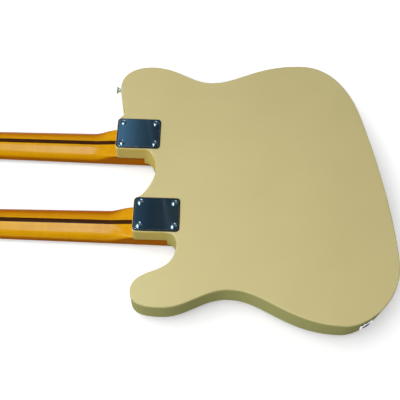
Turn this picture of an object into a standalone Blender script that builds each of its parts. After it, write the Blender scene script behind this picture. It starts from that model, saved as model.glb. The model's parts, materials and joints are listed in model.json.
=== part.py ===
"""A double-neck solid-body electric guitar, lying face down.

X runs from the headstocks to the tail, Y to the bass side and Z out of the back.
All sizes are in millimetres from the centre of the upper neck's screw plate, and
the meshes are turned into metres when a piece is placed. Two equal six-string
necks are screwed into one body: the upper one, and the lower one beside it.
"""

import math

import bmesh
import bpy
from mathutils import Matrix, Vector

MM = 0.001
MERGE_DISTANCE = 0.001
FLAT_ANGLE = math.radians(0.3)

# Clearances between pieces that touch or turn on the real guitar
SEAT_GAP = 0.3
INLAY_GAP = 0.15
TURN_GAP = 0.3
CUT_MARGIN = 5.0

# Strings and necks
SCALE_LENGTH = 648.0
STRING_COUNT = 6
STRING_DIAMETERS = (1.17, 0.91, 0.66, 0.43, 0.33, 0.25)
NUT_STRING_STEP = 7.0
SADDLE_STRING_STEP = 10.5
NUT_STRING_HEIGHT = 1.7
SADDLE_STRING_HEIGHT = 4.4
HEEL_END = 42.0
NECK_SPACING = 138.5
NECK_STAGGER = 34.5

# Neck section
NUT_WIDTH = 40.0
HEEL_WIDTH = 53.0
NUT_THICKNESS = 20.8
TWELFTH_FRET_THICKNESS = 22.8
HEEL_THICKNESS = 25.4
HEEL_CARVE_START = -74.0
HEEL_CARVE_END = -35.0
CARVE_STATIONS = 7
SHAFT_ROUNDNESS = 2.2
HEEL_CORNER = 2.5
MOST_CORNER_SHARE = 0.4
BACK_STEPS = 5
FLAT_CORNER_DROPS = ((0.0, 0.0), (0.13, 0.5), (0.5, 0.87), (1.0, 1.0))
SECTION_STATION = 120.0
FINGERBOARD_RADIUS = 241.0
FINGERBOARD_EDGE = 7.0
FINGERBOARD_RISE = 9.4
FINGERBOARD_OVERHANG = 7.65
FRET_COUNT = 21
FRET_WIDTH = 2.4
FRET_HEIGHT = 1.0
FRET_TANG = 0.4
FRET_END_INSET = 0.5
NUT_LENGTH = 3.2
NUT_SEAT_DEPTH = 3.0
NUT_SHELF = 0.4
NUT_SIDE_INSET = 0.2

# Headstock and tuners
HEADSTOCK_LENGTH = 180.0
HEADSTOCK_THICKNESS = 14.3
HEADSTOCK_TIP_RADIUS = 12.0
HEADSTOCK_SHOULDER_START = 6.0
HEADSTOCK_SHOULDER_END = 30.0
HEADSTOCK_TREBLE_FLARE = 13.5
FLARE_SHARE = 0.85
HEADSTOCK_SCOOP_END = 26.0
TIP_RADIUS_SHARE = 0.92
TIP_TURNS = (0, 30, 50, 68, 84)
HEADSTOCK_STATIONS = (5.7, 9, 13, 17, 21, 26, 31, 50, 90, 130)
FIRST_POST = 38.0
POST_STEP = 23.6
POST_OFFSET = 4.0
POST_TO_EDGE = 12.5
POST_RADIUS = 3.0
POST_WAIST = 2.5
POST_REACH = 15.5
POST_STRING_HEIGHT = 6.0
GEAR_RADIUS = 4.7
GEAR_THICKNESS = 3.4
WORM_RADIUS = 1.9
WORM_TAIL = 6.7
TUNER_PLATE = 1.0
TUNER_PLATE_WIDTH = 19.0
TUNER_COVER = (17.0, 17.0, 6.6)
TUNER_COVER_X = 2.0
TUNER_COVER_Y = 0.5
TUNER_PLATE_SPARE = 8.0
GEAR_SIDES = 10
POST_SIDES = 8
BUTTON_SIDES = 8
BUTTON_START = 15.0
BUTTON_LENGTH = 15.0
BUTTON_WIDTH = 18.5
BUTTON_THICKNESS = 8.0
BUTTON_SHAPE = ((0.0, 0.36), (0.18, 0.75), (0.5, 1.0), (0.82, 0.88), (1.0, 0.5))

# Skunk stripe and truss rod
STRIPE_WIDTH = 6.35
STRIPE_DEPTH = 6.0
STRIPE_CROWN = 0.1
STRIPE_END = 10.0
STRIPE_START = 12.0
ROD_RADIUS = 2.4
ROD_DEPTH = 9.0

# Body
BODY_THICKNESS = 43.0
BODY_ROUNDOVER = 2.4
HEEL_BLOCK_REACH = 33.5
HEEL_BLOCK_TREBLE = 28.0
HEEL_BLOCK_BASS = 25.0
HEEL_BLOCK_RADIUS = 4.5
POCKET_MOUTH_ENDS = {"upper": 8.9, "lower": 15.9}
POCKET_LEAD = 12.0
PICKUP_CAVITY_DEPTH = 18.0
CONTROL_CAVITY = (146.0, 27.0)
CONTROL_CAVITY_DEPTH = 34.0
SELECTOR_CAVITY_RADIUS = 11.0
SELECTOR_CAVITY_DEPTH = 32.0

# Neck screw plate
SCREW_PLATE = (65.2, 52.2)
SCREW_PLATE_THICKNESS = 1.8
SCREW_PLATE_RADIUS = 5.4
SCREW_PLATE_BEVEL = 0.8
SCREW_SPACING = (49.5, 37.0)
SCREW_HEAD_RADIUS = 4.3
SCREW_HEAD_HEIGHT = 2.2
SCREW_RADIUS = 2.1
SCREW_LENGTH = 44.0
SCREW_SIDES = 8

# Bridge
BRIDGE_PLATE = 1.2
BRIDGE_WIDTH = 84.0
BRIDGE_FRONT = 64.0
BRIDGE_REAR = 21.0
BRIDGE_WALL = 1.2
BRIDGE_WALL_HEIGHT = 9.0
BARREL_RADIUS = 3.2
BARREL_LENGTH = 16.6
BARREL_SIDES = 10
STRING_GROOVE = 0.1
LEG_RADIUS = 1.3
LEG_SPACING = 11.6
ADJUSTER_RADIUS = 1.2
ADJUSTER_HEAD = 2.3
STRING_ANCHOR_HEIGHT = 4.5

# Pickups
NECK_PICKUP = (19.0, 69.0, 16.0)
NECK_PICKUP_X = 18.0
NECK_PICKUP_DEPTH = 5.0
BRIDGE_PICKUP = (20.0, 73.0, 18.0)
BRIDGE_PICKUP_X = 27.0
BRIDGE_PICKUP_DEPTH = 4.5
BRIDGE_PICKUP_SLANT = math.radians(14.0)
POLE_RADIUS = 2.4
POLE_RISE = 0.6

# Pickguard, control plate and knobs
GUARD_THICKNESS = 1.6
CONTROL_PLATE = (159.0, 32.0)
CONTROL_PLATE_THICKNESS = 1.2
CONTROL_PLATE_RADIUS = 14.0
CONTROL_PLATE_PLACE = (220.5, -77.5)
SWITCH_PLACE = -52.0
VOLUME_PLACE = 5.0
TONE_PLACE = 51.0
KNOB_RADIUS = 9.4
KNOB_HEIGHT = 15.5
KNOB_CLEARANCE = 0.5
KNOB_RIM = 0.8
KNOB_WALL = 2.4
KNOB_SIDES = 20
SHAFT_RADIUS = 3.0
BUSHING_RADIUS = 4.6
BUSHING_HEIGHT = 4.0
POT_RADIUS = 12.0
POT_HEIGHT = 9.0
ROUND_SIDES = 12
BORE_SIDES = 10
SWITCH_SLOT = (25.0, 3.6)
SWITCH_SWING = math.radians(15.0)
SWITCH_PIVOT_DEPTH = 12.0
SWITCH_BLADE = 1.6
SWITCH_RISE = 14.5
SWITCH_FRAME = (34.0, 14.0, 20.0)
SWITCH_FRAME_WALL = 3.0
SELECTOR_PLACE = (108.0, -70.0)
SELECTOR_BUSHING_RADIUS = 5.8
SELECTOR_BUSHING_HEIGHT = 4.0
SELECTOR_RISE = 12.5
SELECTOR_BALL = 2.4

# Jack and strap button
JACK_FLANGE_RADIUS = 11.5
JACK_CUP_RADIUS = 10.0
JACK_CUP_DEPTH = 9.0
JACK_HOLE_RADIUS = 3.4
STRAP_BUTTON_LENGTH = 9.0
STRAP_BUTTON_RADIUS = 6.4

# Levels above the table: the knob tops rest on it, and the guitar's front faces down
FRONT = KNOB_HEIGHT + KNOB_CLEARANCE + CONTROL_PLATE_THICKNESS + SEAT_GAP
BACK = FRONT + BODY_THICKNESS
FINGERBOARD = FRONT - FINGERBOARD_RISE
HEEL_BACK = FINGERBOARD + HEEL_THICKNESS
HEADSTOCK_FACE = HEEL_BACK - HEADSTOCK_THICKNESS
PLATE_FACE = FRONT - SEAT_GAP - BRIDGE_PLATE
GUARD_FACE = FRONT - SEAT_GAP - GUARD_THICKNESS
CONTROL_FACE = FRONT - SEAT_GAP - CONTROL_PLATE_THICKNESS
GEAR_LEVEL = HEEL_BACK + SEAT_GAP + TUNER_PLATE + 1.6
MID_BODY = (FRONT + BACK) / 2

# Places along each neck, from the centre of its own screw plate
NECK_LENGTH = SCALE_LENGTH * (1 - 2 ** (-FRET_COUNT / 12)) + FINGERBOARD_OVERHANG
NUT_X = HEEL_END - NECK_LENGTH
SADDLE_X = NUT_X + SCALE_LENGTH
TIP_X = NUT_X - HEADSTOCK_LENGTH
TUNER_ANGLE = math.atan2(NUT_STRING_STEP, POST_STEP)
TUNER_PITCH = math.hypot(NUT_STRING_STEP, POST_STEP)
WORM_OFFSET = GEAR_RADIUS + WORM_RADIUS + TURN_GAP
GUARD_END = SADDLE_X - BRIDGE_FRONT - 2 * SEAT_GAP

NECKS = {"upper": (0.0, 0.0), "lower": (NECK_STAGGER, -NECK_SPACING)}

# Body outline: neck that the anchor belongs to, its place, the heading there in
# degrees, and the lengths of the curve's handles before and after it
HORN_SIDE = ("upper", -34.4, 92.5, 90.0, 23.3, 21.0)
HORN_TOP = ("upper", 16.3, 133.0, 0.0, 34.3, 41.0)
TAIL = ("lower", 343.8, -56.5, -90.0, 102.0, 64.8)
LOWER_BOUT = ("lower", 259.6, -157.5, 180.0, 27.8, 77.0)
BODY_OUTER = [
    ("upper", -24.0, 38.0, 98.0, 0.0, 10.0),
    HORN_SIDE,
    HORN_TOP,
    ("upper", 108.8, 104.4, 0.0, 29.6, 44.4),
    ("upper", 260.9, 145.5, 0.0, 76.8, 64.0),
    ("upper", 347.3, 53.1, -76.3, 13.5, 34.0),
    TAIL,
    LOWER_BOUT,
    ("lower", 104.5, -111.0, 180.0, 50.0, 35.0),
    ("lower", 12.5, -138.5, 180.0, 34.0, 27.0),
    ("lower", -30.5, -114.5, 90.0, 20.0, 17.0),
    ("lower", 1.0, -85.0, 21.0, 15.0, 18.0),
    ("lower", 29.5, -46.0, 90.0, 22.0, 12.0),
    ("lower", 10.5, -HEEL_BLOCK_TREBLE, 180.0, 14.0, 0.0),
]
BODY_BETWEEN = [
    ("lower", -24.6, 31.5, 46.0, 0.0, 11.6),
    ("upper", 28.9, -63.8, 90.0, 16.0, 12.0),
    ("upper", 10.5, -HEEL_BLOCK_TREBLE, 180.0, 13.0, 0.0),
]
STRAP_BUTTON_SPOT = (HORN_SIDE, HORN_TOP, 0.09)
JACK_SPOT = (TAIL, LOWER_BOUT, 0.69)

# Pickguard corners: neck that the corner belongs to, its place and its radius
GUARD_CORNERS = [
    ("upper", 8.0, 36.0, 3.0),
    ("upper", 140.0, 43.0, 20.0),
    ("upper", GUARD_END, 34.0, 4.0),
    ("upper", GUARD_END, -56.0, 10.0),
    ("lower", GUARD_END, 50.5, 10.0),
    ("lower", GUARD_END, -48.0, 8.0),
    ("lower", 116.0, -94.0, 24.0),
    ("lower", 74.0, -104.0, 30.0),
    ("lower", 15.0, -131.5, 12.0),
    ("lower", -22.5, -122.0, 8.0),
    ("lower", -20.5, -103.5, 8.0),
    ("lower", 20.0, -77.5, 14.0),
    ("lower", 38.5, -57.0, 12.0),
    ("lower", 38.5, -12.0, 1.0),
    ("upper", 38.0, -150.0, 1.0),
    ("upper", 38.0, -4.0, 1.0),
    ("upper", 8.0, -4.0, 1.0),
]


def clear_scene():
    """Remove every object of the open file."""
    for old in list(bpy.data.objects):
        bpy.data.objects.remove(old, do_unlink=True)


def principled(name, color, roughness, metallic=0.0):
    """Make a material with one Principled shader."""
    made = bpy.data.materials.new(name)
    made.use_nodes = True
    made.diffuse_color = (*color, 1.0)
    shader = made.node_tree.nodes["Principled BSDF"]
    shader.inputs["Base Color"].default_value = (*color, 1.0)
    shader.inputs["Roughness"].default_value = roughness
    shader.inputs["Metallic"].default_value = metallic
    return made


def circle(radius, steps, squash=1.0):
    """Points round a circle, or round an ellipse where squash isn't 1."""
    turns = [2 * math.pi * step / steps for step in range(steps)]
    return [(radius * math.cos(turn), radius * squash * math.sin(turn)) for turn in turns]


def rounded_corner(before, corner, after, radius, steps=4):
    """Points of the arc that rounds one corner of a polygon."""
    corner = Vector(corner)
    back = (Vector(before) - corner).normalized()
    ahead = (Vector(after) - corner).normalized()
    half_angle = back.angle(ahead) / 2
    reach = radius / math.tan(half_angle)
    centre = corner + (back + ahead).normalized() * (radius / math.sin(half_angle))
    first = corner + back * reach - centre
    last = corner + ahead * reach - centre
    swing = first.angle_signed(last)
    arc = []
    for step in range(steps + 1):
        turn = Matrix.Rotation(-swing * step / steps, 2)
        arc.append(tuple(centre + turn @ first))
    return arc


def rounded_polygon(corners, steps=4):
    """Outline of a polygon whose corners are (x, y, radius)."""
    outline = []
    for index, (x, y, radius) in enumerate(corners):
        before = corners[index - 1][:2]
        after = corners[(index + 1) % len(corners)][:2]
        outline += rounded_corner(before, (x, y), after, radius, steps)
    return outline


def rounded_rectangle(length, width, radius, steps=4):
    """Outline of a rectangle round the origin, with rounded corners."""
    x, y = length / 2, width / 2
    return rounded_polygon([(-x, -y, radius), (x, -y, radius), (x, y, radius), (-x, y, radius)], steps)


def shifted(outline, offset, turn=0.0):
    """The outline, turned about the origin and then moved."""
    cos, sin = math.cos(turn), math.sin(turn)
    return [(x * cos - y * sin + offset[0], x * sin + y * cos + offset[1]) for x, y in outline]


def anchor_point(anchor):
    """Place of an outline's anchor, past the offset of its neck."""
    offset = NECKS[anchor[0]]
    return Vector((anchor[1] + offset[0], anchor[2] + offset[1]))


def curve_point(start, end, share):
    """Point and heading on the curve from one anchor to the next."""
    leave = Vector((math.cos(math.radians(start[3])), math.sin(math.radians(start[3]))))
    reach = Vector((math.cos(math.radians(end[3])), math.sin(math.radians(end[3]))))
    a = anchor_point(start)
    d = anchor_point(end)
    b = a + leave * start[5]
    c = d - reach * end[4]
    rest = 1 - share
    point = a * rest**3 + b * 3 * rest**2 * share + c * 3 * rest * share**2 + d * share**3
    heading = (b - a) * rest**2 + (c - b) * 2 * rest * share + (d - c) * share**2
    return point, heading.normalized()


def curve_outline(anchors, steps):
    """Points of the smooth line through all the anchors."""
    outline = []
    for start, end in zip(anchors[:-1], anchors[1:]):
        outline += [tuple(curve_point(start, end, step / steps)[0]) for step in range(steps)]
    outline.append(tuple(anchor_point(anchors[-1])))
    return outline


def heel_block(neck, before, after):
    """The two rounded corners of the body's end under one neck plate."""
    x, y = NECKS[neck]
    treble = (x - HEEL_BLOCK_REACH, y - HEEL_BLOCK_TREBLE)
    bass = (x - HEEL_BLOCK_REACH, y + HEEL_BLOCK_BASS)
    corners = rounded_corner(before, treble, bass, HEEL_BLOCK_RADIUS, 3)
    return corners + rounded_corner(treble, bass, after, HEEL_BLOCK_RADIUS, 3)


def body_outline():
    """The body's edge, once round, clockwise as the back is seen."""
    outer = curve_outline(BODY_OUTER, 9)
    between = curve_outline(BODY_BETWEEN, 7)
    outline = outer + heel_block("lower", outer[-1], between[0])
    outline += between + heel_block("upper", between[-1], outer[0])
    return outline


def edge_spot(spot):
    """Point on the body's edge and the direction straight out of it."""
    point, heading = curve_point(*spot)
    return point, Vector((-heading.y, heading.x))


def finished(work):
    """Turn a bmesh into a mesh whose faces point out."""
    bmesh.ops.recalc_face_normals(work, faces=work.faces[:])
    mesh = bpy.data.meshes.new("shape")
    work.to_mesh(mesh)
    work.free()
    return mesh


def prism(outline, low, high, low_rim=(0.0, 1), high_rim=(0.0, 1)):
    """Solid between two levels, each with a rim (width, segments) that is rounded over."""
    work = bmesh.new()
    floor = work.faces.new([work.verts.new((x, y, low)) for x, y in outline])
    raised = bmesh.ops.extrude_face_region(work, geom=[floor])["geom"]
    lifted = [part for part in raised if isinstance(part, bmesh.types.BMVert)]
    bmesh.ops.translate(work, verts=lifted, vec=(0, 0, high - low))
    bmesh.ops.recalc_face_normals(work, faces=work.faces[:])
    for level, (width, segments) in ((low, low_rim), (high, high_rim)):
        if width:
            rim = [edge for edge in work.edges if all(abs(end.co.z - level) < 1e-6 for end in edge.verts)]
            shape = {"offset": width, "segments": segments, "profile": 0.5}
            bmesh.ops.bevel(work, geom=rim, affect="EDGES", clamp_overlap=True, **shape)
    return finished(work)


def loft(rings):
    """Closed solid through rings of equally many points."""
    work = bmesh.new()
    loops = [[work.verts.new(point) for point in ring] for ring in rings]
    count = len(rings[0])
    for near, far in zip(loops[:-1], loops[1:]):
        for index in range(count):
            after = (index + 1) % count
            work.faces.new((near[index], near[after], far[after], far[index]))
    bmesh.ops.triangulate(work, faces=work.faces[:])
    work.faces.new(loops[0])
    work.faces.new(loops[-1])
    return finished(work)


def turned(profile, steps, squash=1.0):
    """Solid of revolution about Z from (radius, level) points, lowest first."""
    return loft([[(x, y, level) for x, y in circle(radius, steps, squash)] for radius, level in profile])


def tube(path, radius, steps=6):
    """Round bar along a path whose rings stand square to X."""
    rings = []
    for point in path:
        rings.append([(point[0], point[1] + y, point[2] + z) for y, z in circle(radius, steps)])
    return loft(rings)


def box(low, high):
    """Solid box between two corners."""
    outline = [(low[0], low[1]), (high[0], low[1]), (high[0], high[1]), (low[0], high[1])]
    return prism(outline, low[2], high[2])


def moved(mesh, offset=(0.0, 0.0, 0.0), turn=None):
    """The mesh, turned about the origin and then moved."""
    if turn is not None:
        mesh.transform(turn.to_4x4())
    mesh.transform(Matrix.Translation(Vector(offset)))
    return mesh


def simplified(mesh):
    """Join the pieces that a Boolean leaves of each flat face."""
    work = bmesh.new()
    work.from_mesh(mesh)
    bmesh.ops.remove_doubles(work, verts=work.verts[:], dist=MERGE_DISTANCE)
    bmesh.ops.dissolve_limit(work, angle_limit=FLAT_ANGLE, verts=work.verts[:], edges=work.edges[:])
    return finished(work)


def combined(mesh, others, operation):
    """Bake the Boolean of one mesh with each of the others."""
    builders = []
    for shape in [mesh] + list(others):
        builder = bpy.data.objects.new("builder", shape)
        bpy.context.scene.collection.objects.link(builder)
        builders.append(builder)
    target = builders[0]
    for other in builders[1:]:
        modifier = target.modifiers.new("combine", "BOOLEAN")
        modifier.operation = operation
        modifier.solver = "EXACT"
        modifier.object = other
    bpy.context.view_layer.update()
    depsgraph = bpy.context.evaluated_depsgraph_get()
    result = bpy.data.meshes.new_from_object(target.evaluated_get(depsgraph))
    for builder in builders:
        bpy.data.objects.remove(builder, do_unlink=True)
    return simplified(result)


def cut(mesh, cutters):
    """The mesh without the space of the cutters."""
    return combined(mesh, cutters, "DIFFERENCE")


def fused(mesh, others):
    """The mesh and the others as one solid."""
    return combined(mesh, others, "UNION")


def place(name, mesh, material, at=(0.0, 0.0, 0.0), turn=0.0):
    """Put a finished mesh into the scene in metres, as one named piece."""
    mesh.name = name
    piece = bpy.data.objects.new(name, mesh)
    bpy.context.scene.collection.objects.link(piece)
    piece.location = Vector(at) * MM
    piece.rotation_euler = (0.0, 0.0, turn)
    if not mesh.materials:
        mesh.transform(Matrix.Scale(MM, 4))
        mesh.materials.clear()
        mesh.materials.append(material)
        mesh.shade_smooth()
        mesh.set_sharp_from_angle(angle=math.radians(35))
    return piece


def smooth_step(low, high, value):
    """0 below low, 1 above high, and a smooth rise between."""
    share = min(max((value - low) / (high - low), 0.0), 1.0)
    return share * share * (3 - 2 * share)


def neck_half_width(x):
    """Half of the fingerboard's width at a place along the neck."""
    share = (x - NUT_X) / NECK_LENGTH
    return (NUT_WIDTH + (HEEL_WIDTH - NUT_WIDTH) * share) / 2


def string_y(index, x):
    """Height of a string across the neck, from the bass side's first one."""
    share = (x - NUT_X) / SCALE_LENGTH
    step = NUT_STRING_STEP + (SADDLE_STRING_STEP - NUT_STRING_STEP) * share
    return step * ((STRING_COUNT - 1) / 2 - index)


def string_level(x):
    """Level of the strings' centres between the nut and the saddles."""
    share = (x - NUT_X) / SCALE_LENGTH
    return FINGERBOARD - NUT_STRING_HEIGHT - (SADDLE_STRING_HEIGHT - NUT_STRING_HEIGHT) * share


def post_place(index):
    """Place of a tuner post, from the centre of its neck's screw plate."""
    return NUT_X - FIRST_POST - POST_STEP * index, string_y(index, NUT_X) + POST_OFFSET


def headstock_sides(reach):
    """Bass and treble sides of the headstock past the nut, without its tip's rounding."""
    edge_x, edge_y = FIRST_POST, string_y(0, NUT_X) + POST_OFFSET
    slope = math.tan(TUNER_ANGLE)
    bass_line = edge_y + POST_TO_EDGE / math.cos(TUNER_ANGLE) - slope * (reach - edge_x)
    shoulder = smooth_step(HEADSTOCK_SHOULDER_START, HEADSTOCK_SHOULDER_END, reach)
    bass = NUT_WIDTH / 2 + (bass_line - NUT_WIDTH / 2) * shoulder
    treble = -NUT_WIDTH / 2 - HEADSTOCK_TREBLE_FLARE * smooth_step(0, HEADSTOCK_LENGTH * FLARE_SHARE, reach)
    return bass, treble


def tip_radius():
    """Radius of the headstock's two end corners, which is less on a narrow tip."""
    bass, treble = headstock_sides(HEADSTOCK_LENGTH)
    return min(HEADSTOCK_TIP_RADIUS, TIP_RADIUS_SHARE * (bass - treble) / 2)


def headstock_edges(reach):
    """Bass and treble edges of the headstock, at a reach past the nut."""
    bass, treble = headstock_sides(reach)
    radius = tip_radius()
    into_tip = min(max(reach - (HEADSTOCK_LENGTH - radius), 0.0), radius)
    drawn_in = radius - math.sqrt(radius**2 - into_tip**2)
    return bass - drawn_in, treble + drawn_in


def neck_back(x):
    """Level of the back of the neck at its middle."""
    reach = NUT_X - x
    twelfth_fret = SCALE_LENGTH / 2
    growth = (TWELFTH_FRET_THICKNESS - NUT_THICKNESS) / twelfth_fret
    shaft = NUT_THICKNESS + growth * min(max(-reach, 0.0), twelfth_fret)
    heel = smooth_step(HEEL_CARVE_START, HEEL_CARVE_END, x)
    head = smooth_step(-4, HEADSTOCK_SHOULDER_END + 4, reach)
    return FINGERBOARD + shaft + (HEEL_THICKNESS - shaft) * max(heel, head)


def back_shares(squareness, corner):
    """Back of the neck's section as shares: round at 0, a flat with corners at 1."""
    round_edge = []
    for step in range(BACK_STEPS + 1):
        angle = math.pi / 2 * step / BACK_STEPS
        across, rise = math.cos(angle), math.sin(angle)
        round_edge.append((across ** (2 / SHAFT_ROUNDNESS), rise ** (2 / SHAFT_ROUNDNESS)))
    flat_edge = [(1 - drop * corner, rise) for drop, rise in FLAT_CORNER_DROPS]
    flat_edge += [(0.5, 1.0), (0.0, 1.0)]
    bass = []
    for (round_y, round_z), (flat_y, flat_z) in zip(round_edge, flat_edge):
        across = round_y + (flat_y - round_y) * squareness
        bass.append((across, round_z + (flat_z - round_z) * squareness))
    return bass + [(-across, rise) for across, rise in reversed(bass[:-1])]


def neck_ring(x):
    """One cross-section of the neck: the camber, the edges and the carved back."""
    reach = NUT_X - x
    if reach > 0:
        bass, treble = headstock_edges(reach)
    else:
        bass, treble = neck_half_width(x), -neck_half_width(x)
    middle, half = (bass + treble) / 2, (bass - treble) / 2
    squareness = max(
        smooth_step(HEEL_CARVE_START, HEEL_CARVE_END, x),
        smooth_step(4, HEADSTOCK_SHOULDER_END, reach),
    )
    scoop = smooth_step(NUT_LENGTH + 2, HEADSTOCK_SCOOP_END, reach)
    front = FINGERBOARD + (HEADSTOCK_FACE - FINGERBOARD) * scoop
    camber = (1 - scoop) / (2 * FINGERBOARD_RADIUS)
    back = neck_back(x)
    edge = front + FINGERBOARD_EDGE + (back - front - FINGERBOARD_EDGE - HEEL_CORNER) * squareness
    ring = []
    for share in (-1, -0.4, 0.4, 1):
        ring.append((x, middle + half * share, front + camber * (half * share) ** 2))
    for across, rise in back_shares(squareness, min(HEEL_CORNER / half, MOST_CORNER_SHARE)):
        ring.append((x, middle + half * across, edge + (back - edge) * rise))
    return ring


def carve_stations():
    """Places of the cross-sections where the square heel turns into the round shaft."""
    shares = [step / (CARVE_STATIONS - 1) for step in range(CARVE_STATIONS)]
    return [HEEL_CARVE_END + (HEEL_CARVE_START - HEEL_CARVE_END) * share for share in shares]


def neck_stations():
    """Places of the neck's cross-sections, from the heel's end to the tip."""
    shaft = [NUT_X + SCALE_LENGTH / 2, NUT_X + SECTION_STATION, NUT_X]
    radius = tip_radius()
    reaches = list(HEADSTOCK_STATIONS)
    reaches += [HEADSTOCK_LENGTH - radius * (1 - math.sin(math.radians(turn))) for turn in TIP_TURNS]
    return [HEEL_END] + carve_stations() + shaft + [NUT_X - reach for reach in reaches]


def fret_mesh(number):
    """One fret wire, bent to the fingerboard's camber."""
    x = NUT_X + SCALE_LENGTH * (1 - 2 ** (-number / 12))
    half = neck_half_width(x) - FRET_END_INSET
    rings = []
    for share in (-1, -0.36, 0.36, 1):
        y = half * share
        level = FINGERBOARD + y * y / (2 * FINGERBOARD_RADIUS)
        root, crown = level + FRET_TANG, level - FRET_HEIGHT
        wide, narrow = FRET_WIDTH / 2, FRET_WIDTH / 5
        section = [(-wide, root), (-narrow, crown), (narrow, crown), (wide, root)]
        rings.append([(x + along, y, rise) for along, rise in section])
    return loft(rings)


def screw_places():
    """The four neck screws, from the centre of the screw plate."""
    x, y = SCREW_SPACING[0] / 2, SCREW_SPACING[1] / 2
    return [(-x, -y), (x, -y), (x, y), (-x, y)]


def neck_mesh():
    """Maple neck with its frets, and the slots and holes of what it carries."""
    blank = loft([neck_ring(x) for x in neck_stations()])
    blank = fused(blank, [fret_mesh(number) for number in range(1, FRET_COUNT + 1)])
    above = HEEL_BACK + CUT_MARGIN
    half = NUT_WIDTH / 2 + CUT_MARGIN
    seat = (NUT_X - NUT_LENGTH - SEAT_GAP, -half, FINGERBOARD - CUT_MARGIN)
    cutters = [box(seat, (NUT_X, half, nut_floor() + SEAT_GAP))]
    slot = STRIPE_WIDTH / 2 + INLAY_GAP
    floor = FINGERBOARD + ROD_DEPTH - ROD_RADIUS - TURN_GAP
    slot_start = (NUT_X + STRIPE_START - INLAY_GAP, -slot, floor)
    cutters.append(box(slot_start, (HEEL_END + CUT_MARGIN, slot, above)))
    for index in range(STRING_COUNT):
        x, y = post_place(index)
        hole = prism(circle(POST_RADIUS + TURN_GAP, BORE_SIDES), HEADSTOCK_FACE - CUT_MARGIN, above)
        cutters.append(moved(hole, (x, y, 0)))
    pilot_end = BACK + SCREW_PLATE_THICKNESS - SCREW_LENGTH - 1
    for x, y in screw_places():
        pilot = prism(circle(SCREW_RADIUS + TURN_GAP, SCREW_SIDES), pilot_end, above)
        cutters.append(moved(pilot, (x, y, 0)))
    return cut(blank, cutters)


def stripe_mesh():
    """Walnut strip let into the back of the neck over the truss rod."""
    half = STRIPE_WIDTH / 2
    rings = []
    shaft = [NUT_X + SCALE_LENGTH / 2, NUT_X + SECTION_STATION, NUT_X + STRIPE_START]
    for x in [STRIPE_END] + carve_stations() + shaft:
        back = neck_back(x)
        side = back - STRIPE_CROWN
        low = back - STRIPE_DEPTH
        section = [(-half, low), (-half, side), (0, back), (half, side), (half, low)]
        rings.append([(x, across, rise) for across, rise in section])
    return loft(rings)


def rod_mesh():
    """Steel truss rod in the channel under the strip."""
    level = FINGERBOARD + ROD_DEPTH
    start = NUT_X + STRIPE_START + 1
    return tube([(start, 0, level), (HEEL_END - 2, 0, level)], ROD_RADIUS, 8)


def nut_floor():
    """Level of the seat that the nut stands on."""
    return FINGERBOARD + NUT_SEAT_DEPTH


def nut_mesh():
    """Bone nut with a slot for each string."""
    half = NUT_WIDTH / 2 - NUT_SIDE_INSET
    crown = string_level(NUT_X) - NUT_SHELF
    low_x, high_x = NUT_X - NUT_LENGTH, NUT_X - SEAT_GAP / 2
    block = box((low_x, -half, crown), (high_x, half, nut_floor()))
    slots = []
    for index in range(STRING_COUNT):
        reach = STRING_DIAMETERS[index] / 2 + SEAT_GAP
        y = string_y(index, NUT_X)
        floor = string_level(NUT_X) + reach
        slots.append(box((low_x - 1, y - reach, crown - 1), (high_x + 1, y + reach, floor)))
    return cut(block, slots)


def tuner_place(index):
    """Place of one tuner along its strip, towards the nut from the first."""
    return -TUNER_PITCH * index


def tuner_strip_mesh():
    """Plate with six gear covers, each bored for its post and its worm."""
    length = TUNER_PITCH * (STRING_COUNT - 1) + TUNER_COVER[0] + TUNER_PLATE_SPARE
    middle = tuner_place(STRING_COUNT - 1) / 2 + TUNER_COVER_X
    low = HEEL_BACK + SEAT_GAP
    top = low + TUNER_PLATE + TUNER_COVER[2]
    plate = prism(rounded_rectangle(length, TUNER_PLATE_WIDTH, 3, 3), low, low + TUNER_PLATE)
    plate = moved(plate, (middle, TUNER_COVER_Y, 0))
    well_top = GEAR_LEVEL + GEAR_THICKNESS / 2 + TURN_GAP
    bore_radius = WORM_RADIUS + TURN_GAP
    tilt = Matrix.Rotation(-math.pi / 2, 3, "X")
    covers, bores = [], []
    for index in range(STRING_COUNT):
        x = tuner_place(index)
        outline = rounded_rectangle(TUNER_COVER[0], TUNER_COVER[1], 2.4, 1)
        cover = prism(outline, low + TUNER_PLATE / 2, top, high_rim=(1.2, 1))
        covers.append(moved(cover, (x + TUNER_COVER_X, TUNER_COVER_Y, 0)))
        well = prism(circle(GEAR_RADIUS + TURN_GAP, GEAR_SIDES), low - 1, well_top)
        bores.append(moved(well, (x, 0, 0)))
        bore = turned([(bore_radius, -WORM_TAIL - TURN_GAP), (bore_radius, BUTTON_START)], 8)
        bores.append(moved(bore, (x + WORM_OFFSET, 0, GEAR_LEVEL), tilt))
    return cut(fused(plate, covers), bores)


def tuner_post_mesh():
    """String post with its gear, about Z through the headstock."""
    tip = HEADSTOCK_FACE - POST_REACH
    gear_low = GEAR_LEVEL - GEAR_THICKNESS / 2
    wind = HEADSTOCK_FACE - POST_STRING_HEIGHT
    profile = [
        (POST_RADIUS, tip),
        (POST_WAIST, wind - 3),
        (POST_RADIUS, HEADSTOCK_FACE - 1),
        (POST_RADIUS, gear_low),
        (GEAR_RADIUS, gear_low + 0.02),
        (GEAR_RADIUS, GEAR_LEVEL + GEAR_THICKNESS / 2),
    ]
    return turned(profile, POST_SIDES)


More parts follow.
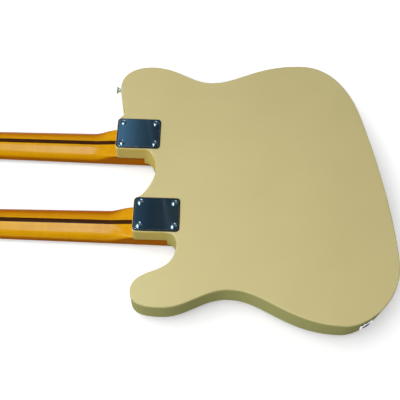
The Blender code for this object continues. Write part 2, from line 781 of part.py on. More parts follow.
def tuner_button_mesh():
    """Tuning key: the worm's shaft and the flat button on its end, along Z."""
    wide = BUTTON_WIDTH / 2
    flat = BUTTON_THICKNESS / BUTTON_WIDTH
    rings = [circle(WORM_RADIUS, BUTTON_SIDES), circle(WORM_RADIUS, BUTTON_SIDES)]
    levels = [-WORM_TAIL, BUTTON_START - 0.2]
    for along, width in BUTTON_SHAPE:
        rings.append(circle(wide * width, BUTTON_SIDES, flat + 0.3 * (1 - width)))
        levels.append(BUTTON_START + BUTTON_LENGTH * along)
    return loft([[(x, y, level) for x, y in ring] for ring, level in zip(rings, levels)])


def screw_plate_mesh():
    """Neck plate with its four screws, which reach through the body into the heel."""
    low = BACK + SEAT_GAP
    high = low + SCREW_PLATE_THICKNESS
    outline = rounded_rectangle(*SCREW_PLATE, SCREW_PLATE_RADIUS, 4)
    plate = prism(outline, low, high, high_rim=(SCREW_PLATE_BEVEL, 1))
    screws = []
    for x, y in screw_places():
        profile = [
            (SCREW_RADIUS, high - SCREW_LENGTH),
            (SCREW_RADIUS, high - 0.6),
            (SCREW_HEAD_RADIUS, high - 0.4),
            (SCREW_HEAD_RADIUS * 0.92, high + SCREW_HEAD_HEIGHT * 0.5),
            (SCREW_HEAD_RADIUS * 0.5, high + SCREW_HEAD_HEIGHT),
        ]
        screws.append(moved(turned(profile, SCREW_SIDES), (x, y, 0)))
    return fused(plate, screws)


def stadium(width, length, steps=4):
    """Bar outline along Y with round ends."""
    return rounded_rectangle(width, length, width / 2 - 0.01, steps)


def bridge_mesh():
    """Bridge tray with three raised walls and the slanted pickup's opening."""
    low_x, high_x = SADDLE_X - BRIDGE_FRONT, SADDLE_X + BRIDGE_REAR
    half = BRIDGE_WIDTH / 2
    corners = [(low_x, -half, 2), (high_x, -half, 4), (high_x, half, 4), (low_x, half, 2)]
    top = PLATE_FACE - BRIDGE_WALL_HEIGHT
    tray = prism(rounded_polygon(corners, 3), top, FRONT - SEAT_GAP)
    inner_half = half - BRIDGE_WALL
    inner_x = high_x - BRIDGE_WALL
    mouth_x = low_x - CUT_MARGIN
    inner = [(mouth_x, -inner_half, 1), (inner_x, -inner_half, 3)]
    inner += [(inner_x, inner_half, 3), (mouth_x, inner_half, 1)]
    cutters = [prism(rounded_polygon(inner, 3), top - CUT_MARGIN, PLATE_FACE)]
    slot = stadium(BRIDGE_PICKUP[0] + 2, BRIDGE_PICKUP[1] + 2)
    slot = shifted(slot, (SADDLE_X - BRIDGE_PICKUP_X, 0), BRIDGE_PICKUP_SLANT)
    cutters.append(prism(slot, PLATE_FACE - 1, FRONT + 1))
    for index in range(STRING_COUNT // 2):
        y, level = barrel_y(index), adjuster_level()
        run = [(inner_x - 2, y, level), (high_x + 2, y, level)]
        cutters.append(tube(run, ADJUSTER_RADIUS + TURN_GAP, 8))
    return cut(tray, cutters)


def barrel_y(index):
    """Place across the bridge of one barrel saddle, which carries two strings."""
    return (string_y(2 * index, SADDLE_X) + string_y(2 * index + 1, SADDLE_X)) / 2


def barrel_level():
    """Level of the barrel saddles' axis: the strings lie in grooves in their flat tops."""
    return string_level(SADDLE_X) + BARREL_RADIUS * math.cos(math.pi / BARREL_SIDES) - STRING_GROOVE


def adjuster_level():
    """Level of the screws that set the saddles along the strings."""
    return barrel_level() + BARREL_RADIUS * 0.55


def saddle_mesh(pair):
    """Barrel saddle on its two legs, with its adjusting screw and its two strings."""
    y = barrel_y(pair)
    half = BARREL_LENGTH / 2
    flat_up = Matrix.Rotation(math.pi / 2 + math.pi / BARREL_SIDES, 3, "Z")
    across = Matrix.Rotation(-math.pi / 2, 3, "X") @ flat_up
    barrel = turned([(BARREL_RADIUS, -half), (BARREL_RADIUS, half)], BARREL_SIDES)
    barrel = moved(barrel, (SADDLE_X, y, barrel_level()), across)
    parts = []
    for side in (-1, 1):
        leg = turned([(LEG_RADIUS, barrel_level()), (LEG_RADIUS, PLATE_FACE - SEAT_GAP)], 6)
        parts.append(moved(leg, (SADDLE_X, y + side * LEG_SPACING / 2, 0)))
    rear, level = SADDLE_X + BRIDGE_REAR, adjuster_level()
    parts.append(tube([(SADDLE_X, y, level), (rear + 1, y, level)], ADJUSTER_RADIUS, 6))
    parts.append(tube([(rear + 0.5, y, level), (rear + 2.5, y, level)], ADJUSTER_HEAD, 8))
    for index in (2 * pair, 2 * pair + 1):
        parts.append(string_mesh(index))
    return fused(barrel, parts)


def string_mesh(index):
    """One string, from the bridge's rear wall over saddle and nut to its post."""
    post_x, _ = post_place(index)
    nut_y = string_y(index, NUT_X)
    saddle_y = string_y(index, SADDLE_X)
    anchor_x = SADDLE_X + BRIDGE_REAR - BRIDGE_WALL - SEAT_GAP
    path = [
        (anchor_x, saddle_y, PLATE_FACE - STRING_ANCHOR_HEIGHT),
        (SADDLE_X + 0.9, saddle_y, string_level(SADDLE_X)),
        (NUT_X, nut_y, string_level(NUT_X)),
        (NUT_X - NUT_LENGTH, nut_y, string_level(NUT_X)),
        (post_x, nut_y, HEADSTOCK_FACE - POST_STRING_HEIGHT),
        (post_x - 3, nut_y, HEADSTOCK_FACE - POST_STRING_HEIGHT),
    ]
    return tube(path, STRING_DIAMETERS[index] / 2)


def neck_pickup_mesh():
    """Covered pickup at the end of the fingerboard."""
    width, length, height = NECK_PICKUP
    low = GUARD_FACE - NECK_PICKUP_DEPTH
    bar = prism(stadium(width, length), low, low + height, low_rim=(1.5, 2))
    return moved(bar, (HEEL_END + NECK_PICKUP_X, 0, 0))


def bridge_pickup_mesh():
    """Slanted pickup with six pole pieces under the strings."""
    width, length, height = BRIDGE_PICKUP
    low = PLATE_FACE - BRIDGE_PICKUP_DEPTH
    outline = shifted(stadium(width, length), (SADDLE_X - BRIDGE_PICKUP_X, 0), BRIDGE_PICKUP_SLANT)
    bar = prism(outline, low, low + height, low_rim=(0.8, 1))
    poles = []
    for index in range(STRING_COUNT):
        y = string_y(index, SADDLE_X - BRIDGE_PICKUP_X)
        x = SADDLE_X - BRIDGE_PICKUP_X - y * math.tan(BRIDGE_PICKUP_SLANT)
        poles.append(moved(prism(circle(POLE_RADIUS, 8), low - POLE_RISE, low + 2), (x, y, 0)))
    return fused(bar, poles)


def neck_shadow(neck, gap, low, high):
    """Space of one neck's heel, with a gap round it, between two levels."""
    x, y = NECKS[neck]
    start = -HEEL_BLOCK_REACH - POCKET_LEAD
    stop = HEEL_END + gap
    near, far = neck_half_width(start) + gap, neck_half_width(stop) + gap
    outline = [(start, -near), (stop, -far), (stop, far), (start, near)]
    return prism(shifted(outline, (x, y)), low, high)


def body_mesh():
    """Solid body with its neck pockets, cavities and holes."""
    blank = prism(body_outline(), FRONT, BACK, (BODY_ROUNDOVER, 1), (BODY_ROUNDOVER, 2))
    cutters = []
    below = FRONT - CUT_MARGIN
    for neck, (x, y) in NECKS.items():
        floor = HEEL_BACK + SEAT_GAP
        cutters.append(neck_shadow(neck, SEAT_GAP, below, floor))
        mouth = (x - HEEL_BLOCK_REACH - POCKET_LEAD, y - HEEL_BLOCK_TREBLE - 8, below)
        cutters.append(box(mouth, (x + POCKET_MOUTH_ENDS[neck], y, floor)))
        bar = stadium(NECK_PICKUP[0] + 3, NECK_PICKUP[1] + 6)
        cavity = shifted(bar, (x + HEEL_END + NECK_PICKUP_X, y))
        cutters.append(prism(cavity, below, FRONT + PICKUP_CAVITY_DEPTH))
        bar = rounded_rectangle(BRIDGE_PICKUP[0] + 6, BRIDGE_PICKUP[1] + 6, 4, 2)
        cavity = shifted(bar, (x + SADDLE_X - BRIDGE_PICKUP_X, y), BRIDGE_PICKUP_SLANT)
        cutters.append(prism(cavity, below, FRONT + PICKUP_CAVITY_DEPTH))
        for screw_x, screw_y in screw_places():
            outline = circle(SCREW_RADIUS + TURN_GAP, SCREW_SIDES)
            hole = prism(outline, HEEL_BACK - 2, BACK + CUT_MARGIN)
            cutters.append(moved(hole, (x + screw_x, y + screw_y, 0)))
    cavity = shifted(rounded_rectangle(*CONTROL_CAVITY, 8, 3), control_place())
    cutters.append(prism(cavity, below, FRONT + CONTROL_CAVITY_DEPTH))
    outline = circle(SELECTOR_CAVITY_RADIUS, ROUND_SIDES)
    selector = prism(outline, below, FRONT + SELECTOR_CAVITY_DEPTH)
    cutters.append(moved(selector, (*SELECTOR_PLACE, 0)))
    bore = turned([(JACK_CUP_RADIUS + SEAT_GAP, -34), (JACK_CUP_RADIUS + SEAT_GAP, 10)], 16)
    cutters.append(jack_placed(bore))
    return cut(blank, cutters)


def control_place():
    """Middle of the control plate."""
    x, y = NECKS["lower"]
    return x + CONTROL_PLATE_PLACE[0], y + CONTROL_PLATE_PLACE[1]


def sideways(mesh, spot, depth=0.0):
    """Turn a mesh made along Z so that it points straight out of the body's edge."""
    point, outward = edge_spot(spot)
    turn = Vector((0, 0, 1)).rotation_difference(outward.to_3d()).to_matrix()
    start = point + outward * depth
    return moved(mesh, (start.x, start.y, MID_BODY), turn)


def jack_placed(mesh):
    """The mesh in the place of the jack."""
    return sideways(mesh, JACK_SPOT)


def jack_cup_mesh():
    """Cup let into the edge of the body, with the hole for the jack."""
    cup = turned(
        [
            (JACK_CUP_RADIUS, -JACK_CUP_DEPTH - 1.5),
            (JACK_CUP_RADIUS, SEAT_GAP),
            (JACK_FLANGE_RADIUS, SEAT_GAP + 0.02),
            (JACK_FLANGE_RADIUS, SEAT_GAP + 1.0),
            (JACK_FLANGE_RADIUS - 0.8, SEAT_GAP + 1.8),
        ],
        16,
    )
    recess = turned([(JACK_CUP_RADIUS - 2.5, -JACK_CUP_DEPTH), (JACK_CUP_RADIUS - 1.2, 6)], 12)
    hole_radius = BUSHING_RADIUS + SEAT_GAP
    hole = turned([(hole_radius, -JACK_CUP_DEPTH - 4), (hole_radius, 0)], BORE_SIDES)
    return jack_placed(cut(cup, [recess, hole]))


def jack_socket_mesh():
    """Socket barrel with its nut, open for the plug."""
    floor = -JACK_CUP_DEPTH
    barrel = turned(
        [
            (7.4, floor - 16),
            (7.4, floor - 1.5 - SEAT_GAP),
            (BUSHING_RADIUS, floor - 1.48 - SEAT_GAP),
            (BUSHING_RADIUS, floor + SEAT_GAP),
            (6.4, floor + SEAT_GAP + 0.02),
            (6.4, floor + SEAT_GAP + 2),
            (BUSHING_RADIUS, floor + SEAT_GAP + 2.02),
            (BUSHING_RADIUS, floor + SEAT_GAP + 4),
        ],
        10,
    )
    bore = turned([(JACK_HOLE_RADIUS, floor - 14), (JACK_HOLE_RADIUS, 6)], 10)
    return jack_placed(cut(barrel, [bore]))


def strap_button_mesh():
    """Strap button on the shoulder, standing out of the body's edge."""
    shape = ((0.86, 0.0), (0.54, 0.28), (0.54, 0.58), (1.0, 0.86), (1.0, 0.93), (0.74, 1.0))
    profile = []
    for width, along in shape:
        profile.append((STRAP_BUTTON_RADIUS * width, SEAT_GAP + STRAP_BUTTON_LENGTH * along))
    return sideways(turned(profile, 14), STRAP_BUTTON_SPOT)


def guard_mesh():
    """Pickguard sheet, cut round the necks, their pickups and the selector."""
    corners = []
    for neck, x, y, radius in GUARD_CORNERS:
        corners.append((x + NECKS[neck][0], y + NECKS[neck][1], radius))
    sheet = prism(rounded_polygon(corners, 3), GUARD_FACE, FRONT - SEAT_GAP)
    low, high = GUARD_FACE - CUT_MARGIN, FRONT + CUT_MARGIN
    cutters = []
    for neck, (x, y) in NECKS.items():
        cutters.append(neck_shadow(neck, 2 * SEAT_GAP, low, high))
        bar = stadium(NECK_PICKUP[0] + 0.8, NECK_PICKUP[1] + 0.8)
        cutters.append(prism(shifted(bar, (x + HEEL_END + NECK_PICKUP_X, y)), low, high))
    hole = prism(circle(SELECTOR_BUSHING_RADIUS + SEAT_GAP, ROUND_SIDES), low, high)
    cutters.append(moved(hole, (*SELECTOR_PLACE, 0)))
    return cut(sheet, cutters)


def control_plate_mesh():
    """Control plate with its switch slot and the two pots that hang from it."""
    x, y = control_place()
    outline = shifted(rounded_rectangle(*CONTROL_PLATE, CONTROL_PLATE_RADIUS, 5), (x, y))
    plate = prism(outline, CONTROL_FACE, FRONT - SEAT_GAP)
    bore_radius = SHAFT_RADIUS + TURN_GAP
    bore_low = CONTROL_FACE - BUSHING_HEIGHT - 2
    pots, holes = [], []
    for place_x in (VOLUME_PLACE, TONE_PLACE):
        profile = [
            (BUSHING_RADIUS, CONTROL_FACE - BUSHING_HEIGHT),
            (BUSHING_RADIUS, FRONT + 2),
            (POT_RADIUS, FRONT + 2.02),
            (POT_RADIUS, FRONT + 2 + POT_HEIGHT),
        ]
        pots.append(moved(turned(profile, ROUND_SIDES), (x + place_x, y, 0)))
        bore = turned([(bore_radius, bore_low), (bore_radius, FRONT + 8)], BORE_SIDES)
        holes.append(moved(bore, (x + place_x, y, 0)))
    slot = shifted(rounded_rectangle(*SWITCH_SLOT, 1.5, 2), (x + SWITCH_PLACE, y))
    holes.append(prism(slot, CONTROL_FACE - CUT_MARGIN, FRONT + CUT_MARGIN))
    return cut(fused(plate, pots), holes)


def knob_mesh():
    """Barrel knob with its shaft, about Z; its flat top stands on the table."""
    profile = [(KNOB_RADIUS - KNOB_RIM, 0.0), (KNOB_RADIUS, KNOB_RIM), (KNOB_RADIUS, KNOB_HEIGHT)]
    knob = turned(profile, KNOB_SIDES)
    inner = BUSHING_RADIUS + KNOB_WALL
    floor = KNOB_HEIGHT - BUSHING_HEIGHT - 1
    hollow = turned([(inner, floor), (inner, KNOB_HEIGHT + 1)], ROUND_SIDES)
    shaft = turned([(SHAFT_RADIUS, KNOB_HEIGHT - 8), (SHAFT_RADIUS, FRONT + 7)], BORE_SIDES)
    return fused(cut(knob, [hollow]), [shaft])


def switch_pivot():
    """Place of the blade switch's pivot."""
    x, y = control_place()
    return x + SWITCH_PLACE, y, FRONT + SWITCH_PIVOT_DEPTH


def switch_lever_mesh():
    """Blade lever with its round tip, about its pivot's axis along Y."""
    tip = CONTROL_FACE - SWITCH_RISE - switch_pivot()[2]
    blade_end = tip + 9
    thick = SWITCH_BLADE / 2
    blade = box((-2.0, -thick, blade_end - 2), (2.0, thick, 3.0))
    cap = turned([(2.6, tip), (3.8, tip + 1.2), (3.4, tip + 4), (2.4, tip + 9)], 10)
    return fused(blade, [cap])


def switch_frame_mesh():
    """Blade switch's frame under the plate, a channel that the lever swings in."""
    x, y, level = switch_pivot()
    low = FRONT + SEAT_GAP
    half_length, half_width = SWITCH_FRAME[0] / 2, SWITCH_FRAME[1] / 2
    far = (x + half_length, y + half_width, low + SWITCH_FRAME[2])
    frame = box((x - half_length, y - half_width, low), far)
    reach = half_length - SWITCH_FRAME_WALL
    slot = SWITCH_BLADE / 2 + 2 * TURN_GAP
    channel = box((x - reach, y - slot, low - 2), (x + reach, y + slot, level + CUT_MARGIN))
    return cut(frame, [channel])


def selector_pivot():
    """Place of the neck selector's pivot, inside its bushing."""
    return *SELECTOR_PLACE, GUARD_FACE + 2.0


def selector_body_mesh():
    """Neck selector's case and its threaded bushing through the pickguard."""
    x, y, level = selector_pivot()
    mouth = GUARD_FACE - SELECTOR_BUSHING_HEIGHT
    profile = [
        (SELECTOR_BUSHING_RADIUS, mouth),
        (SELECTOR_BUSHING_RADIUS, FRONT + 2),
        (9.0, FRONT + 2.02),
        (9.0, FRONT + 20),
    ]
    case = turned(profile, ROUND_SIDES)
    seat = SELECTOR_BALL + TURN_GAP
    funnel = [(5.0, mouth - 1), (4.4, mouth + 1), (seat + 0.1, level - 2.4), (seat, level + 2.6)]
    return moved(cut(case, [turned(funnel, BORE_SIDES)]), (x, y, 0))


def selector_lever_mesh():
    """Bat lever of the neck selector, about its pivot."""
    tip = GUARD_FACE - SELECTOR_RISE - selector_pivot()[2]
    ball = SELECTOR_BALL
    bat = [(1.8, tip), (2.6, tip + 1), (2.3, tip + 5), (1.2, -0.9 * ball)]
    bat += [(0.93 * ball, -0.4 * ball), (0.93 * ball, 0.4 * ball), (0.5 * ball, 0.87 * ball)]
    return turned(bat, 8)


def place_neck_pieces(neck, offset, shared, materials):
    """Put every piece of one neck at its offset."""
    x, y = offset
    for name, slot in (
        ("neck", "maple"),
        ("skunk_stripe", "walnut"),
        ("truss_rod", "steel"),
        ("nut", "bone"),
        ("neck_plate", "chrome"),
        ("bridge", "chrome"),
        ("neck_pickup", "chrome"),
        ("bridge_pickup", "black_plastic"),
    ):
        place(f"{name}_{neck}", shared[name], materials[slot], (x, y, 0))
    for pair in range(STRING_COUNT // 2):
        name = f"saddle_strings_{neck}_{pair + 1}"
        place(name, shared[f"saddle_{pair}"], materials["brass"], (x, y, 0))
    chrome = materials["chrome"]
    first_x, first_y = post_place(0)
    at = (x + first_x, y + first_y, 0)
    place(f"tuner_strip_{neck}", shared["tuner_strip"], chrome, at, TUNER_ANGLE)
    for index in range(STRING_COUNT):
        post_x, post_y = post_place(index)
        at = (x + post_x, y + post_y, 0)
        place(f"string_post_{neck}_{index + 1}", shared["tuner_post"], chrome, at)
        worm_x = post_x + WORM_OFFSET * math.cos(TUNER_ANGLE)
        worm_y = post_y + WORM_OFFSET * math.sin(TUNER_ANGLE)
        at = (x + worm_x, y + worm_y, GEAR_LEVEL)
        key = place(f"tuning_key_{neck}_{index + 1}", shared["tuner_button"], chrome, at)
        key.rotation_euler = (-math.pi / 2, 0.0, TUNER_ANGLE)


def shared_meshes():
    """The meshes that both necks use."""
    shared = {
        "neck": neck_mesh(),
        "skunk_stripe": stripe_mesh(),
        "truss_rod": rod_mesh(),
        "nut": nut_mesh(),
        "neck_plate": screw_plate_mesh(),
        "bridge": bridge_mesh(),
        "neck_pickup": neck_pickup_mesh(),
        "bridge_pickup": bridge_pickup_mesh(),
        "tuner_strip": tuner_strip_mesh(),
        "tuner_post": tuner_post_mesh(),
        "tuner_button": tuner_button_mesh(),
    }
    for pair in range(STRING_COUNT // 2):
        shared[f"saddle_{pair}"] = saddle_mesh(pair)
    return shared


def place_controls(materials):
    """Put the control plate, its knobs and both switches in place."""
    x, y = control_place()
    place("control_plate", control_plate_mesh(), materials["chrome"])
    knob = knob_mesh()
    place("volume_knob", knob, materials["chrome"], (x + VOLUME_PLACE, y, 0))
    place("tone_knob", knob, materials["chrome"], (x + TONE_PLACE, y, 0))
    place("pickup_switch_frame", switch_frame_mesh(), materials["steel"])
    place("pickup_switch_lever", switch_lever_mesh(), materials["black_plastic"], switch_pivot())
    place("neck_selector_body", selector_body_mesh(), materials["steel"])
    place("neck_selector_lever", selector_lever_mesh(), materials["chrome"], selector_pivot())


def centre_on_table():
    """Move everything so that the origin lies under the middle of the guitar."""
    outline = body_outline()
    tail = max(x for x, y in outline)
    bass = max(y for x, y in outline)
    treble = min(y for x, y in outline)
    tip = neck_stations()[-1]
    middle = Vector(((tail + tip) / 2, (bass + treble) / 2, 0)) * MM
    for piece in bpy.context.scene.objects:
        piece.location -= middle
    print("origin from the upper screw plate, mm", tuple(round(value / MM, 3) for value in middle))


def build():
    """Make the whole guitar."""
    clear_scene()
    materials = {
        "lacquer": principled("lacquer", (0.58, 0.51, 0.25), 0.25),
        "maple": principled("maple", (0.68, 0.34, 0.03), 0.22),
        "walnut": principled("walnut", (0.05, 0.02, 0.01), 0.3),
        "bone": principled("bone", (0.80, 0.76, 0.62), 0.4),
        "steel": principled("steel", (0.55, 0.55, 0.56), 0.35, 1.0),
        "chrome": principled("chrome", (0.80, 0.81, 0.83), 0.08, 1.0),
        "brass": principled("brass", (0.72, 0.50, 0.20), 0.3, 1.0),
        "black_plastic": principled("black_plastic", (0.02, 0.02, 0.02), 0.3),
    }
    place("body", body_mesh(), materials["lacquer"])
    place("pickguard", guard_mesh(), materials["black_plastic"])
    place("jack_cup", jack_cup_mesh(), materials["chrome"])
    place("jack_socket", jack_socket_mesh(), materials["steel"])
    place("strap_button", strap_button_mesh(), materials["chrome"])
    place_controls(materials)
    shared = shared_meshes()
    for neck, offset in NECKS.items():
        place_neck_pieces(neck, offset, shared, materials)
    centre_on_table()


build()
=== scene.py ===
# %% [markdown]
# A double-neck electric guitar, lying face down on a white table.
# This lesson dresses the imported model. Each solid of the frame is kept or gets a finer piece in its place, and every
# piece gets a finish made from shader nodes. We start by loading the frame and noting how big it is.

import json
import math

import bmesh
import bpy
from mathutils import Matrix, Vector

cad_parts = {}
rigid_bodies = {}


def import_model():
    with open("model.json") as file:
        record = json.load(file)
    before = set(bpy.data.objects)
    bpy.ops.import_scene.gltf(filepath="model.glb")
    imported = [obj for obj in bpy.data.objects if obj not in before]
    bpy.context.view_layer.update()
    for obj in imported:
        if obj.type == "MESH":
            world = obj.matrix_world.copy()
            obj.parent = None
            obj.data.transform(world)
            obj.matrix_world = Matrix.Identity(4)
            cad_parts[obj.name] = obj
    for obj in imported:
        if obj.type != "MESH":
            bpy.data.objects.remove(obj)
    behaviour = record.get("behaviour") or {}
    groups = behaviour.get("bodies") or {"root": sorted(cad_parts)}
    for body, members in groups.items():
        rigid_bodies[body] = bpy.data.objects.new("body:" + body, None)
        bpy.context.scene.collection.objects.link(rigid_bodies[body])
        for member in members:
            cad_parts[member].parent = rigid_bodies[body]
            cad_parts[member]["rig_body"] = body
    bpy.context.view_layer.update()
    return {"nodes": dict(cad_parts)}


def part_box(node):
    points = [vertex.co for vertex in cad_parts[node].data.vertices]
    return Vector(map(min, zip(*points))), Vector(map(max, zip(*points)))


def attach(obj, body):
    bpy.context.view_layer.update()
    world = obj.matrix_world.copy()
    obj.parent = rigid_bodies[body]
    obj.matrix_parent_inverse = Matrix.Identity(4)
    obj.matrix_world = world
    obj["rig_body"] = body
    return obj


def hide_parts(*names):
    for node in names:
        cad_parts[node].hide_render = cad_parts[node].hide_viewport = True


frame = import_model()
nodes = frame["nodes"]

# %% [markdown]
# The frame is in metres, but a guitar maker thinks in millimetres, so shapes are made in
# millimetres and turned into metres when they are shown. Each neck is measured from the
# centre of its own screw plate, and the levels are counted up from the table that the
# guitar lies on face down: the front is low and the back is high.

# %% Landmarks of the guitar
MM = 0.001


def node_box(node):
    """Lowest and highest corner of a solid at rest, in millimetres."""
    low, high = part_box(node)
    return low / MM, high / MM


def node_middle(node):
    """Middle of a solid's box at rest, in millimetres."""
    low, high = node_box(node)
    return (low + high) / 2


NECKS = {}
for neck in ("upper", "lower"):
    plate = node_middle(f"neck_plate_{neck}")
    NECKS[neck] = Vector((plate.x, plate.y, 0.0))
front_corner, back_corner = node_box("body")
FRONT = front_corner.z
BACK = back_corner.z
MID_BODY = (FRONT + BACK) / 2
print("necks at", [tuple(round(value, 2) for value in place) for place in NECKS.values()])
print("front of the body at", round(FRONT, 2), "mm and back at", round(BACK, 2), "mm above the table")

# %% [markdown]
# The camera looks down on the back from the treble side. Its place and its tilt were
# worked out from the corners of the two screw plates, which are a standard 64 by 51 mm,
# so they act as a ruler lying on the object.

# %% Camera
CAMERA_FROM_UPPER_PLATE = Vector((79.86, -540.22, 790.98))
CAMERA_RIGHT = Vector((0.99935301, 0.01855679, 0.03080914))
CAMERA_UP = Vector((-0.03096666, 0.87963076, 0.47464807))
PHOTO_WIDTH = 400
FOCAL_PIXELS = 617.5
SENSOR = 36.0

camera_data = bpy.data.cameras.new("camera")
camera_data.sensor_width = SENSOR
camera_data.lens = FOCAL_PIXELS / PHOTO_WIDTH * SENSOR
camera = bpy.data.objects.new("camera", camera_data)
bpy.context.scene.collection.objects.link(camera)
axes = (CAMERA_RIGHT, CAMERA_UP, CAMERA_RIGHT.cross(CAMERA_UP))
camera.matrix_world = Matrix(axes).transposed().to_4x4()
camera.location = (NECKS["upper"] + Vector((0, 0, BACK)) + CAMERA_FROM_UPPER_PLATE) * MM
bpy.context.scene.camera = camera
print("camera at", tuple(round(value, 3) for value in camera.location))

# %% [markdown]
# The table is white right to its edges, yet it has to keep the thin soft shadow beside
# the guitar. So its shader adds two things: a diffuse surface, which shadows darken, and
# a steady glow that only the camera and reflections see. Together they are a little over
# white in the open, so only a deep shadow shows. As a mirror of light onto the guitar's
# sides it is a darker grey. The world does the same: white to look at, dimmer as a light.

# %% Table and surroundings
bpy.context.scene.view_settings.view_transform = "Standard"
TABLE_HALF = 6.0
TABLE_SEEN = 0.86
TABLE_BOUNCE = 0.20
TABLE_GLOW = 0.31
GLOW_FALLOFF = 0.22
GLOW_MIDDLE = (0.27, -0.02, 0.0)
WORLD_LIGHT_WEST = (0.50, 0.508, 0.523)
WORLD_LIGHT_EAST = (0.15, 0.152, 0.157)


def math_node(tree, operation, first, second=None):
    """Add a math node whose inputs are links or plain numbers, and return its value."""
    node = tree.nodes.new("ShaderNodeMath")
    node.operation = operation
    for slot, value in enumerate((first, second)):
        if isinstance(value, (int, float)):
            node.inputs[slot].default_value = value
        elif value is not None:
            tree.links.new(value, node.inputs[slot])
    return node.outputs[0]


def mix_color(tree, factor, first, second):
    """Mix two colours, each a link or plain values, and return the result."""
    node = tree.nodes.new("ShaderNodeMix")
    node.data_type = "RGBA"
    for label, value in (("Factor", factor), ("A", first), ("B", second)):
        if isinstance(value, (int, float)):
            node.inputs[label].default_value = value
        elif isinstance(value, tuple):
            node.inputs[label].default_value = (*value, 1.0)
        else:
            tree.links.new(value, node.inputs[label])
    return node.outputs["Result"]


def spread(tree, value, low, high, from_low=0.3, from_high=0.7):
    """Map a value, such as a noise of about 0.3 to 0.7, onto a range."""
    node = tree.nodes.new("ShaderNodeMapRange")
    for label, number in (("From Min", from_low), ("From Max", from_high), ("To Min", low), ("To Max", high)):
        node.inputs[label].default_value = number
    tree.links.new(value, node.inputs["Value"])
    return node.outputs["Result"]


def seen_directly(tree):
    """A value that is 1 for camera, glossy and transmission rays, and 0 for the rest."""
    rays = tree.nodes.new("ShaderNodeLightPath")
    both = math_node(tree, "MAXIMUM", rays.outputs["Is Camera Ray"], rays.outputs["Is Glossy Ray"])
    return math_node(tree, "MAXIMUM", both, rays.outputs["Is Transmission Ray"])


def sheet(name, corners, material):
    """A flat four-cornered surface that belongs to the studio, not to the guitar."""
    mesh = bpy.data.meshes.new(name)
    mesh.from_pydata(corners, [], [(0, 1, 2, 3)])
    mesh.materials.append(material)
    surface = bpy.data.objects.new(name, mesh)
    bpy.context.scene.collection.objects.link(surface)
    return surface


surroundings = bpy.data.worlds.new("surroundings")
bpy.context.scene.world = surroundings
surroundings.use_nodes = True
tree = surroundings.node_tree
split = tree.nodes.new("ShaderNodeSeparateXYZ")
tree.links.new(tree.nodes.new("ShaderNodeTexCoord").outputs["Generated"], split.inputs[0])
from_east = spread(tree, split.outputs["X"], 0.0, 1.0, -1.0, 1.0)
shade = mix_color(tree, from_east, WORLD_LIGHT_WEST, WORLD_LIGHT_EAST)
shade = mix_color(tree, seen_directly(tree), shade, (1.0, 1.0, 1.0))
tree.links.new(shade, tree.nodes["Background"].inputs["Color"])

table_white = bpy.data.materials.new("table_white")
table_white.use_nodes = True
tree = table_white.node_tree
tree.nodes.remove(tree.nodes["Principled BSDF"])
matt = tree.nodes.new("ShaderNodeBsdfDiffuse")
shade = mix_color(tree, seen_directly(tree), (TABLE_BOUNCE,) * 3, (TABLE_SEEN,) * 3)
tree.links.new(shade, matt.inputs["Color"])
spot = tree.nodes.new("ShaderNodeTexCoord").outputs["Object"]
away = tree.nodes.new("ShaderNodeVectorMath")
away.operation = "DISTANCE"
away.inputs[1].default_value = GLOW_MIDDLE
tree.links.new(spot, away.inputs[0])
split = tree.nodes.new("ShaderNodeSeparateXYZ")
tree.links.new(spot, split.inputs[0])
far = spread(tree, away.outputs["Value"], 0.0, GLOW_FALLOFF, 0.235, 0.30)
corner = spread(tree, math_node(tree, "ADD", split.outputs["X"], split.outputs["Y"]), 0.0, 1.0, 0.15, 0.45)
steady = math_node(tree, "ADD", math_node(tree, "MULTIPLY", far, corner), TABLE_GLOW)
glow = tree.nodes.new("ShaderNodeEmission")
tree.links.new(math_node(tree, "MULTIPLY", seen_directly(tree), steady), glow.inputs["Strength"])
both = tree.nodes.new("ShaderNodeAddShader")
tree.links.new(matt.outputs[0], both.inputs[0])
tree.links.new(glow.outputs[0], both.inputs[1])
tree.links.new(both.outputs[0], tree.nodes["Material Output"].inputs["Surface"])
half = TABLE_HALF
sheet("table", [(-half, -half, 0), (half, -half, 0), (half, half, 0), (-half, half, 0)], table_white)
print("table", 2 * TABLE_HALF, "m wide; white in the open where the light is above", round((1 - TABLE_GLOW) / TABLE_SEEN, 2))

# %% [markdown]
# Two lamps light the guitar, a wide one over the body and a smaller one over the necks, and the gloss shows neither. A
# long glowing sheet over the necks gives no light, and only reflections see it: it is a painted reflection, the pale
# glow along the amber lacquer, and its right end is where that glow stops. Lacquer and plating show the room too, and a
# studio is mostly dark above its white table. So dark boards stand all round and overhead, a little blue and paler to
# the left, with thin pale strips that draw the bright lines along the plates. Only reflections see them.

# %% Lamps and reflecting boards
LAMP_HEIGHT = 1.5
BOARD_HEIGHT = 1.53
DARK = (0.0135, 0.031, 0.051)


def lamp(name, west, east, south, north, power):
    """An area lamp that fills a rectangle overhead and shines straight down."""
    data = bpy.data.lights.new(name, "AREA")
    data.shape = "RECTANGLE"
    data.size = east - west
    data.size_y = north - south
    data.energy = power
    holder = bpy.data.objects.new(name, data)
    holder.location = ((west + east) / 2, (south + north) / 2, LAMP_HEIGHT)
    bpy.context.scene.collection.objects.link(holder)
    return holder


